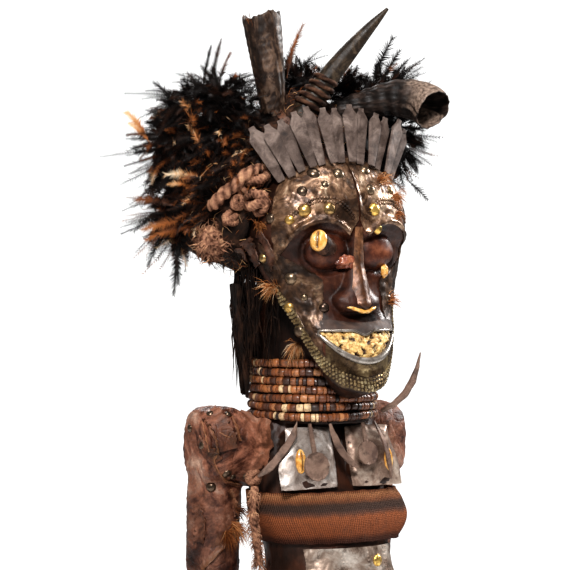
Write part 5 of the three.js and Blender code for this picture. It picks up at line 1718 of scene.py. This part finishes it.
black, brown, tipped = (0.02, 0.08), (0.12, 0.32), (0.05, 0.66)
rusty, orange, tan = (0.4, 0.66), (0.62, 0.8), (0.72, 0.96)
mixedTones = [black] * 12 + [brown] * 6 + [tipped] * 2 + [rusty] + [tan]
darkTones = [black] * 12 + [brown] * 4 + [tipped]
rustTones = [black] * 5 + [brown] * 5 + [rusty] * 3 + [tipped] * 2 + [tan]

rightFeathers = (
    spray((-112, 66, 812), (26, 24, 20), (-0.6, -0.1, 1), 85, 110, (18, 30), (5.5, 8), 0.5, darkTones, 27)
    + spray((-116, 88, 772), (30, 30, 42), (-0.8, 0.45, 0.35), 112, 230, (18, 31), (5.5, 8), 0.35, mixedTones, 1)
    + spray((-88, 48, 812), (30, 28, 24), (-0.35, -0.35, 1), 100, 110, (20, 32), (5.5, 8), 0.25, darkTones, 21)
    + spray((-96, 36, 778), (24, 22, 28), (-0.7, -0.75, 0.25), 95, 120, (16, 27), (5, 7.5), 0.4, mixedTones, 22)
    + onCap(((-128, -56), (782, 850)), (-0.5, -0.5, 0.6), (0, 0, -0.4), (18, 28), (5, 7.5), darkTones, 120, 23)
    + onCap(((-132, -66), (735, 790)), (-0.9, -0.2, 0.1), (0, 0, -0.5), (11, 22), (3.5, 5.5), rustTones, 110, 24)
    + onCap(((-140, -108), (695, 745)), (-1, 0, -0.1), (0, 0, -0.4), (14, 26), (4, 6.5), rustTones, 50, 28)
    + singles([
        (-177, 782, 10, -206, 818, 14, 8, 0.05, -0.3, tan),
        (-174, 776, 6, -203, 806, 12, 6, 0.1, -0.3, tan),
        (-128, 782, -36, -143, 826, -30, 9, -0.25, -0.2, (0.66, 0.84)),
        (-124, 770, -38, -140, 812, -34, 8, -0.3, -0.1, (0.6, 0.8)),
        (-120, 760, -38, -137, 796, -36, 7, -0.3, -0.1, (0.7, 0.9)),
        (-122, 742, -38, -161, 746, -24, 8, 0, -0.2, (0.8, 0.98)),
        (-128, 734, -36, -158, 736, -22, 6, 0, -0.15, (0.7, 0.92)),
        (-130, 700, -34, -182, 690, -10, 9, 0, -0.15, orange),
        (-128, 694, -34, -178, 680, -10, 8, 0, -0.15, (0.55, 0.74)),
        (-146, 712, -16, -194, 722, -4, 8, 0, -0.3, rusty),
        (-150, 690, -4, -152, 630, 2, 10, -0.15, -0.1, black),
        (-144, 682, -6, -146, 640, 0, 8, 0.2, -0.1, black),
        (-160, 694, 4, -176, 658, 8, 8, -0.1, -0.1, black),
        (-122, 830, -12, -114, 874, -14, 5, 0.1, 0, black),
        (-114, 832, -14, -104, 880, -16, 6, 0.1, 0, brown),
        (-108, 826, -16, -95, 866, -18, 6, 0.2, 0, (0.1, 0.55)),
        (-150, 812, 2, -172, 838, 0, 8, -0.4, -0.2, black)]))
rightCore = joined([featherCore((-112, 86, 770), (27, 29, 40), 2),
                    featherCore((-86, 50, 806), (22, 22, 22), 41),
                    featherCore((-98, 54, 772), (19, 24, 34), 42)], "right_core")
bundle("right_plumes", "feathers_right", rightFeathers, rightCore, 3)
bundle("nape_plumes", "feathers_nape",
       spray((-114, 92, 708), (26, 28, 32), (-0.85, 0.2, -0.3), 100, 130, (17, 28), (5.5, 8), 0.4, rustTones, 4),
       featherCore((-106, 90, 704), (28, 30, 34), 5), 6)
bundle("back_plumes", "feathers_back",
       spray((6, 104, 766), (40, 26, 36), (0, 0.25, 0.9), 100, 160, (18, 30), (6, 8), 0.2, darkTones, 7),
       featherCore((8, 104, 762), (38, 32, 38), 8), 9)
bundle("left_plumes", "feathers_left",
       spray((92, 16, 788), (22, 26, 38), (0.8, -0.25, 0.15), 112, 190, (14, 25), (5, 7), 0.25, darkTones, 10)
       + spray((88, 16, 826), (20, 18, 14), (0.1, -0.2, 1), 80, 60, (24, 38), (5.5, 8), 0.05, darkTones, 25)
       + singles([
           (48, 838, 50, 67, 880, 53, 11, 0.15, 0, black),
           (56, 836, 52, 74, 868, 54, 9, 0.1, 0, black),
           (80, 796, 56, 99, 802, 54, 8, 0, -0.1, black),
           (80, 790, 56, 100, 792, 54, 8, 0, -0.1, black),
           (78, 784, 56, 97, 780, 54, 8, 0, -0.1, brown),
           (84, 738, 56, 100, 722, 52, 7, 0, -0.2, black),
           (62, 742, 56, 78, 728, 52, 7, 0, -0.3, rusty)]),
       featherCore((84, 30, 780), (28, 32, 40), 11), 12)
bundle("top_plumes", "feathers_top",
       spray((2, 58, 836), (22, 20, 14), (0, -0.2, 1), 100, 90, (18, 30), (5.5, 8), 0.1, darkTones, 13)
       + spray((44, 44, 826), (26, 22, 16), (0.2, -0.1, 1), 95, 90, (20, 32), (5.5, 8), 0.1, darkTones, 26)
       + spray((50, 18, 820), (22, 18, 14), (0.3, -0.3, 1), 100, 70, (14, 26), (5.5, 8), 0.1, darkTones, 29)
       + singles([(-42, 846, -12, -24, 890, -16, 7, 0.1, 0.1, (0.3, 0.62)),
                  (-38, 842, -12, -28, 880, -16, 5, 0.2, 0.1, (0.4, 0.7))]),
       featherCore((2, 60, 830), (24, 24, 18), 14), 15)
print("feathers ready")


nape = {"middle": 22, "strands": 420, "halfTurn": 118, "tops": (610, 660), "feet": (524, 600),
        "strandRadius": 0.9, "voxel": 2.6}


def napeFringe():
    # strips of bark cloth and loose strands that hang from the cap down the nape
    def onNape(turn, radius, height):
        a = math.radians(180 + turn)
        return radius * math.sin(a), nape["middle"] - radius * math.cos(a), height

    chance = random.Random(31)
    rows = []
    for _ in range(nape["strands"]):
        turn = chance.uniform(-nape["halfTurn"], nape["halfTurn"])
        top, foot = chance.uniform(*nape["tops"]), chance.uniform(*nape["feet"])
        r0, r1 = chance.uniform(70, 82), chance.uniform(72, 84)
        start = onNape(turn, r0, top)
        turn += chance.uniform(-8, 8)
        bend = onNape(turn, r1, (top + foot) / 2)
        tip = onNape(turn + chance.uniform(-7, 7), chance.uniform(68, 84), foot)
        rows.append((start, bend, tip, chance.choice((0, 0.1, 0.2, 0.45, 0.8))))
    strands = hairs("strands", *zip(*rows), nape["strandRadius"])
    mat = copyOf("nape_fringe", "mat")
    remesh(mat, nape["voxel"])
    points = coords(mat)
    ragged = grain(points * (1, 1, 0), 9, 6.0) + 0.6 * grain(points * (1, 1, 0), 3, 1.0)
    points[:, 2] += np.clip(18 + 40 * ragged, 0, 60) * ease(points[:, 2], 575, 522)
    ridges = 1.3 * grain(points * (1, 1, 0.18), 5, 2.0) + 1.0 * grain(points * (1, 1, 0.4), 12, 5.0)
    points += normals(mat) * np.minimum(ridges, 1.0)[:, None]
    setCoords(mat, points)
    # lighter on the ridges and darker between them: painted light and painted shade
    setShade(mat, np.clip(0.35 + ridges / 3, 0, 1))
    return joined([mat, strands], "nape_bark")


place(napeFringe(), capFinish, "fibre", "nape_fringe")

# leather lashing round the foot of the slender horn
lashing = {"foot": (-24, 2, 808), "top": (-5, -11, 840), "turns": 5.2, "radius": 13.2, "taper": 2.4}


def hornLashing():
    turns = np.linspace(0, lashing["turns"] * 2 * np.pi, 90)[:, None]
    share = turns / turns[-1]
    foot, run = np.array(lashing["foot"]), np.array(lashing["top"]) - lashing["foot"]
    axis = run / np.linalg.norm(run)
    aside = unitRows(np.cross(axis, [[0, 0, 1.0]]))
    path = (foot + run * share + (lashing["radius"] - lashing["taper"] * share)
            * (np.cos(turns) * aside + np.sin(turns) * np.cross(axis, aside)))
    return twistedTube("horn_lashing", path, lambda t: 2.6, 2, 9, 260, (0, 0, 1), 10)


lashFinish = fibreMaterial("old_lashing", (0.36, 0.006, 0.003, 0.002), (0.5, 0.03, 0.013, 0.008),
                           (0.66, 0.1, 0.048, 0.028), (0.85, 0.2, 0.1, 0.06))
place(hornLashing(), lashFinish, "fibre")
print("fringe ready")


def hideMaterial():
    look = Look("nailed_hide", 0.5, Specular_IOR_Level=0.3)
    fine = look.noise(130, 7, 0.7)
    colour = look.ramp(look.noise(26, 8, 0.65, 0.8), (0.32, 0.01, 0.004, 0.002), (0.43, 0.095, 0.03, 0.016),
                       (0.54, 0.32, 0.13, 0.076), (0.68, 0.58, 0.36, 0.26))
    colour = look.darken(0.75, colour, fine, 0.35, 0.3, 0.65)
    colour = look.mix(look.shade(), colour, look.mix(fine, (0.12, 0.042, 0.018), (0.42, 0.2, 0.09)))
    # the hide is darker below 0.4 m, on the arm under the shoulder, and darker still above 0.6 m, on the leather
    # about the ear and at the horn's foot
    height = look.node("SeparateXYZ", {"Vector": look.where()}).outputs["Z"]
    dark = look.ramp(height, (0.4, 0.6), (0.46, 1.0), (0.53, 1.0), (0.6, 0.35))
    colour = look.mix(1.0, colour, dark, "MULTIPLY")
    crease = look.ramp(look.cells(85.0, feature="DISTANCE_TO_EDGE"), (0.0, 0.0), (0.12, 1.0))
    rough = look.ramp(fine, (0.3, 0.36), (0.7, 0.62))
    return look.finished(colour, rough, look.mix(0.22, fine, crease), 0.8, 0.0018)


hideFinish = hideMaterial()
hide = {"over": 2.4, "inner": 52, "foot": 328, "voxel": 2.3}


def hideSleeve(side, hand):
    # hide wrapped over the shoulder and down the arm, with a torn rim at both ends
    sleeve = joined([loft("shoulder", yokeRings(hide["over"])), loft("arm", armRings(side, hide["over"]))],
                    "hide_" + hand)
    remesh(sleeve, hide["voxel"])
    for spot, way in (((side * hide["inner"] * mm, 0, 0), (side, 0, 0)),
                      ((0, 0, hide["foot"] * mm), (0, 0, 1))):
        edited(sleeve, bpy.ops.mesh.bisect, plane_co=spot, plane_no=way, clear_inner=True, use_fill=True)
    remesh(sleeve, hide["voxel"])
    points, out = coords(sleeve), normals(sleeve)
    x = np.abs(points[:, 0])
    torn = grain(points * (0, 1, 1), 11, 3.0 + side) + 0.5 * grain(points * (0, 1, 1), 4, 9.0)
    points[:, 0] += side * np.clip(-torn * 7, -2, 8) * ease(x, hide["inner"] + 18, hide["inner"])
    torn = grain(points * (1, 1, 0), 12, 21.0 + side) + 0.5 * grain(points * (1, 1, 0), 4, 2.0)
    points[:, 2] += np.clip(torn * 9, -1, 12) * ease(points[:, 2], hide["foot"] + 26, hide["foot"])
    wrinkle = (0.9 * grain(points * (1, 1, 0.8), 16, 5.0) + 0.8 * np.abs(grain(points * (1, 1, 1.6), 10, 12.0))
               + 0.35 * grain(points, 4, 1.0))
    seam = bell(points[:, 1], 30 + 5 * grain(points * (0, 0, 1), 22, 2.0), 2.5) * (points[:, 0] * side > 95)
    points += out * np.clip(1.5 * wrinkle - 0.45 + 0.7 * seam, -1.5, 1.7)[:, None]
    setCoords(sleeve, points)
    rim = np.maximum(ease(x, hide["inner"] + 5, hide["inner"] + 1),
                     ease(points[:, 2], hide["foot"] + 10, hide["foot"] + 2))
    scuffs = ease(grain(points * (1, 1, 0.6), 5, 44.0), 0.3, 0.5) * ease(grain(points, 30, 4.0), 0.0, 0.3)
    setShade(sleeve, np.clip(rim * 0.6 + scuffs * 0.35, 0, 1))
    smooth(sleeve)
    return place(sleeve, hideFinish, "hide", "hide_sleeve_" + hand)


sleeve = hideSleeve(-1, "right")
hideSleeve(1, "left")

# strips of torn hide, flaps, and the leather where the ear is with skin at the horn's foot:
# each is a line across the view, (across, height) from end to end, and its width
tornStrips = [([(-120, 502), (-113, 488), (-107, 472), (-111, 458), (-103, 442), (-95, 437), (-88, 434)], 3),
              ([(-94, 503), (-89, 490), (-86, 479)], 2.4),
              ([(-107, 487), (-97, 482), (-89, 486)], 2.2),
              ([(-122, 498), (-118, 482), (-116, 468)], 2),
              ([(-91, 390), (-102, 376), (-114, 362), (-124, 352)], 6),
              ([(-96, 430), (-91, 416), (-90, 404)], 5)]
flaps = [([(-74, 506), (-66, 494), (-63, 478), (-66, 462), (-74, 446)], 26),
         ([(-126, 478), (-117, 470), (-108, 458)], 13),
         ([(-116, 508), (-107, 498), (-100, 484), (-97, 470)], 19),
         ([(-128, 414), (-124, 396), (-126, 378)], 12)]
earStrips = [([(-67, 688), (-59, 678), (-54, 664), (-56, 650)], 9),
             ([(-80, 680), (-71, 668), (-66, 654)], 15),
             ([(-86, 672), (-80, 660), (-74, 650)], 9),
             ([(-50, 812), (-43, 803), (-37, 794)], 9)]


def hideStrip(line, width, seed, pieces, pale):
    hits = [seenOn(pieces, a, z) for a, z in line]
    rows, across = 30, 7
    share = np.linspace(0, 1, rows)
    middle = smoothPath([p + o for p, o in hits], share)
    out = unitRows(np.stack([np.interp(share, np.linspace(0, 1, len(hits)), [o[k] for _, o in hits])
                             for k in range(3)], axis=1))
    side = np.cross(out, unitRows(np.gradient(middle, axis=0)))
    points = []
    for i in range(rows):
        for s in np.arange(across) / (across - 1) * 2 - 1:
            jag = 1 + 0.5 * noise.noise((i * 0.45, seed * 3.0, s))
            curl = 2.6 * max(0, s) ** 2 * (0.6 + 0.6 * noise.noise((i * 0.3, seed, 1)))
            rise = curl + 0.5 * noise.noise((i * 0.6, s * 2, seed))
            points.append(middle[i] + side[i] * s * width / 2 * jag + out[i] * rise)
    strip = meshFrom("strip", points, stripFaces(rows, across), np.tile(
        pale * (0.2 + 0.8 * np.arange(across) / (across - 1)), rows))
    modify(strip, "SOLIDIFY", thickness=1.3 * mm, offset=0)
    outward(strip)
    smooth(strip, 60)
    return strip


def hideStrips(rows, first, pieces, pale):
    return [hideStrip(line, width, first + i, pieces, pale) for i, (line, width) in enumerate(rows)]


place(joined(hideStrips(tornStrips, 0, [sleeve], 0.55) + hideStrips(flaps, 9, [sleeve, wood], 0.15),
             "torn_hide_strips"), hideFinish, "hide")
place(joined(hideStrips(earStrips, 20, [wood, cap], 0.2), "ear_leather"), hideFinish, "hide")

# across the view, height above the floor, head radius
hideTacks = [(-135, 492, 4.0), (-123, 475, 4.4), (-115, 506, 4.0), (-97, 506, 3.4), (-98, 446, 4.6),
             (-114, 433, 4.6), (-92, 443, 3.2), (-79, 444, 3.4)]
placeTacks("hide_tacks", [(*seenOn([sleeve], across, height), radius, 0.12)
                          for across, height, radius in hideTacks])
print("hide ready")


def tuft(obj, across, height, way, length, count, spread, shade, seed):
    # a tuft of fibre that sprouts where the camera sees `obj` at that place
    chance = random.Random(seed)
    point, out = seenOn([obj], across, height)
    lead = Vector(way).normalized()
    rows = []
    for _ in range(count):
        lean = scatter(chance) * spread
        start = point + Vector([chance.uniform(-2.5, 2.5) for _ in range(3)])
        run = length * chance.uniform(0.45, 1.0)
        aim = (lead + lean).normalized()
        rows.append((start - out * 1.5, start + aim * run * 0.55 + Vector((0, 0, run * 0.05)),
                     start + (aim + Vector((0, 0, -0.35 * chance.random()))) * run,
                     min(1, max(0, shade + chance.uniform(-0.12, 0.12)))))
    return hairs("tuft", *zip(*rows), 0.35)


# where each grows, its direction, length, number of fibres, spread, shade and seed
tufts = [
    (wood, -28, 575, (-0.75, -0.6, -0.55), 26, 130, 0.28, 0.86, 1),
    (wood, -50, 630, (-0.9, -0.5, 0.1), 27, 150, 0.3, 0.84, 2),
    (wood, 62, 618, (0.9, -0.4, 0.3), 20, 60, 0.45, 0.72, 3),
    (wood, -66, 694, (-0.2, -0.8, 0.1), 15, 110, 0.5, 0.74, 7),
    (wood, 68, 722, (0.9, -0.4, -0.1), 18, 90, 0.5, 0.72, 8),
    (wood, 54, 738, (0.8, -0.5, 0.4), 20, 70, 0.5, 0.76, 9),
    (wood, 70, 706, (0.8, -0.5, -0.4), 14, 60, 0.5, 0.66, 10),
    (bpy.data.objects["upright_bark_horn"], -74, 894, (-0.25, 0.1, 1), 24, 7, 0.12, 0.6, 11),
    (sleeve, -92, 396, (0.5, -0.5, -0.9), 26, 150, 0.4, 0.74, 4),
    (sleeve, -97, 388, (-0.2, -0.6, -0.9), 22, 120, 0.4, 0.6, 5),
    (sleeve, -90, 410, (0.8, -0.5, -0.3), 18, 70, 0.4, 0.5, 6),
]
place(joined([tuft(*row) for row in tufts], "fibre_tufts"), featherFinish, "feather")
print("tufts ready")

# plain studio: a pale floor, a white surround that lights the figure softly, and four soft lamps
floor = added(bpy.ops.mesh.primitive_plane_add, "floor", size=3.6, location=(0, 0, -0.5 * mm))
floor.data.materials.append(Look("pale_floor", 0.8, Base_Color=(0.85, 0.85, 0.85, 1)).material)

studio = {"surround": 0.2, "backdrop": 1.05, "aim": 0.68}
scene = bpy.context.scene
scene.view_settings.view_transform = "Standard"
scene.view_settings.look = "Medium High Contrast"
world = scene.world or bpy.data.worlds.new("studio")
scene.world = world
world.use_nodes = True
nodes, links = world.node_tree.nodes, world.node_tree.links
nodes["Background"].inputs["Color"].default_value = (1, 1, 1, 1)
strength = nodes.new("ShaderNodeMapRange")
links.new(nodes.new("ShaderNodeLightPath").outputs["Is Camera Ray"], strength.inputs["Value"])
strength.inputs["To Min"].default_value = studio["surround"]
strength.inputs["To Max"].default_value = studio["backdrop"]
links.new(strength.outputs["Result"], nodes["Background"].inputs["Strength"])


def softLight(name, turn, height, distance, size, watts):
    light = bpy.data.lights.new(name, "AREA")
    light.size = size
    light.energy = watts
    obj = linked(name, light)
    a = math.radians(turn)
    obj.location = (distance * math.sin(a), -distance * math.cos(a), height)
    obj.rotation_euler = (Vector((0, 0, studio["aim"])) - obj.location).to_track_quat("-Z", "Y").to_euler()


softLight("key_left", -38, 1.7, 1.5, 0.35, 42)
softLight("side_right", 88, 1.3, 1.4, 0.4, 26)
softLight("top", 20, 2.3, 0.6, 0.5, 12)
softLight("rim_back", 170, 1.7, 1.5, 0.6, 14)
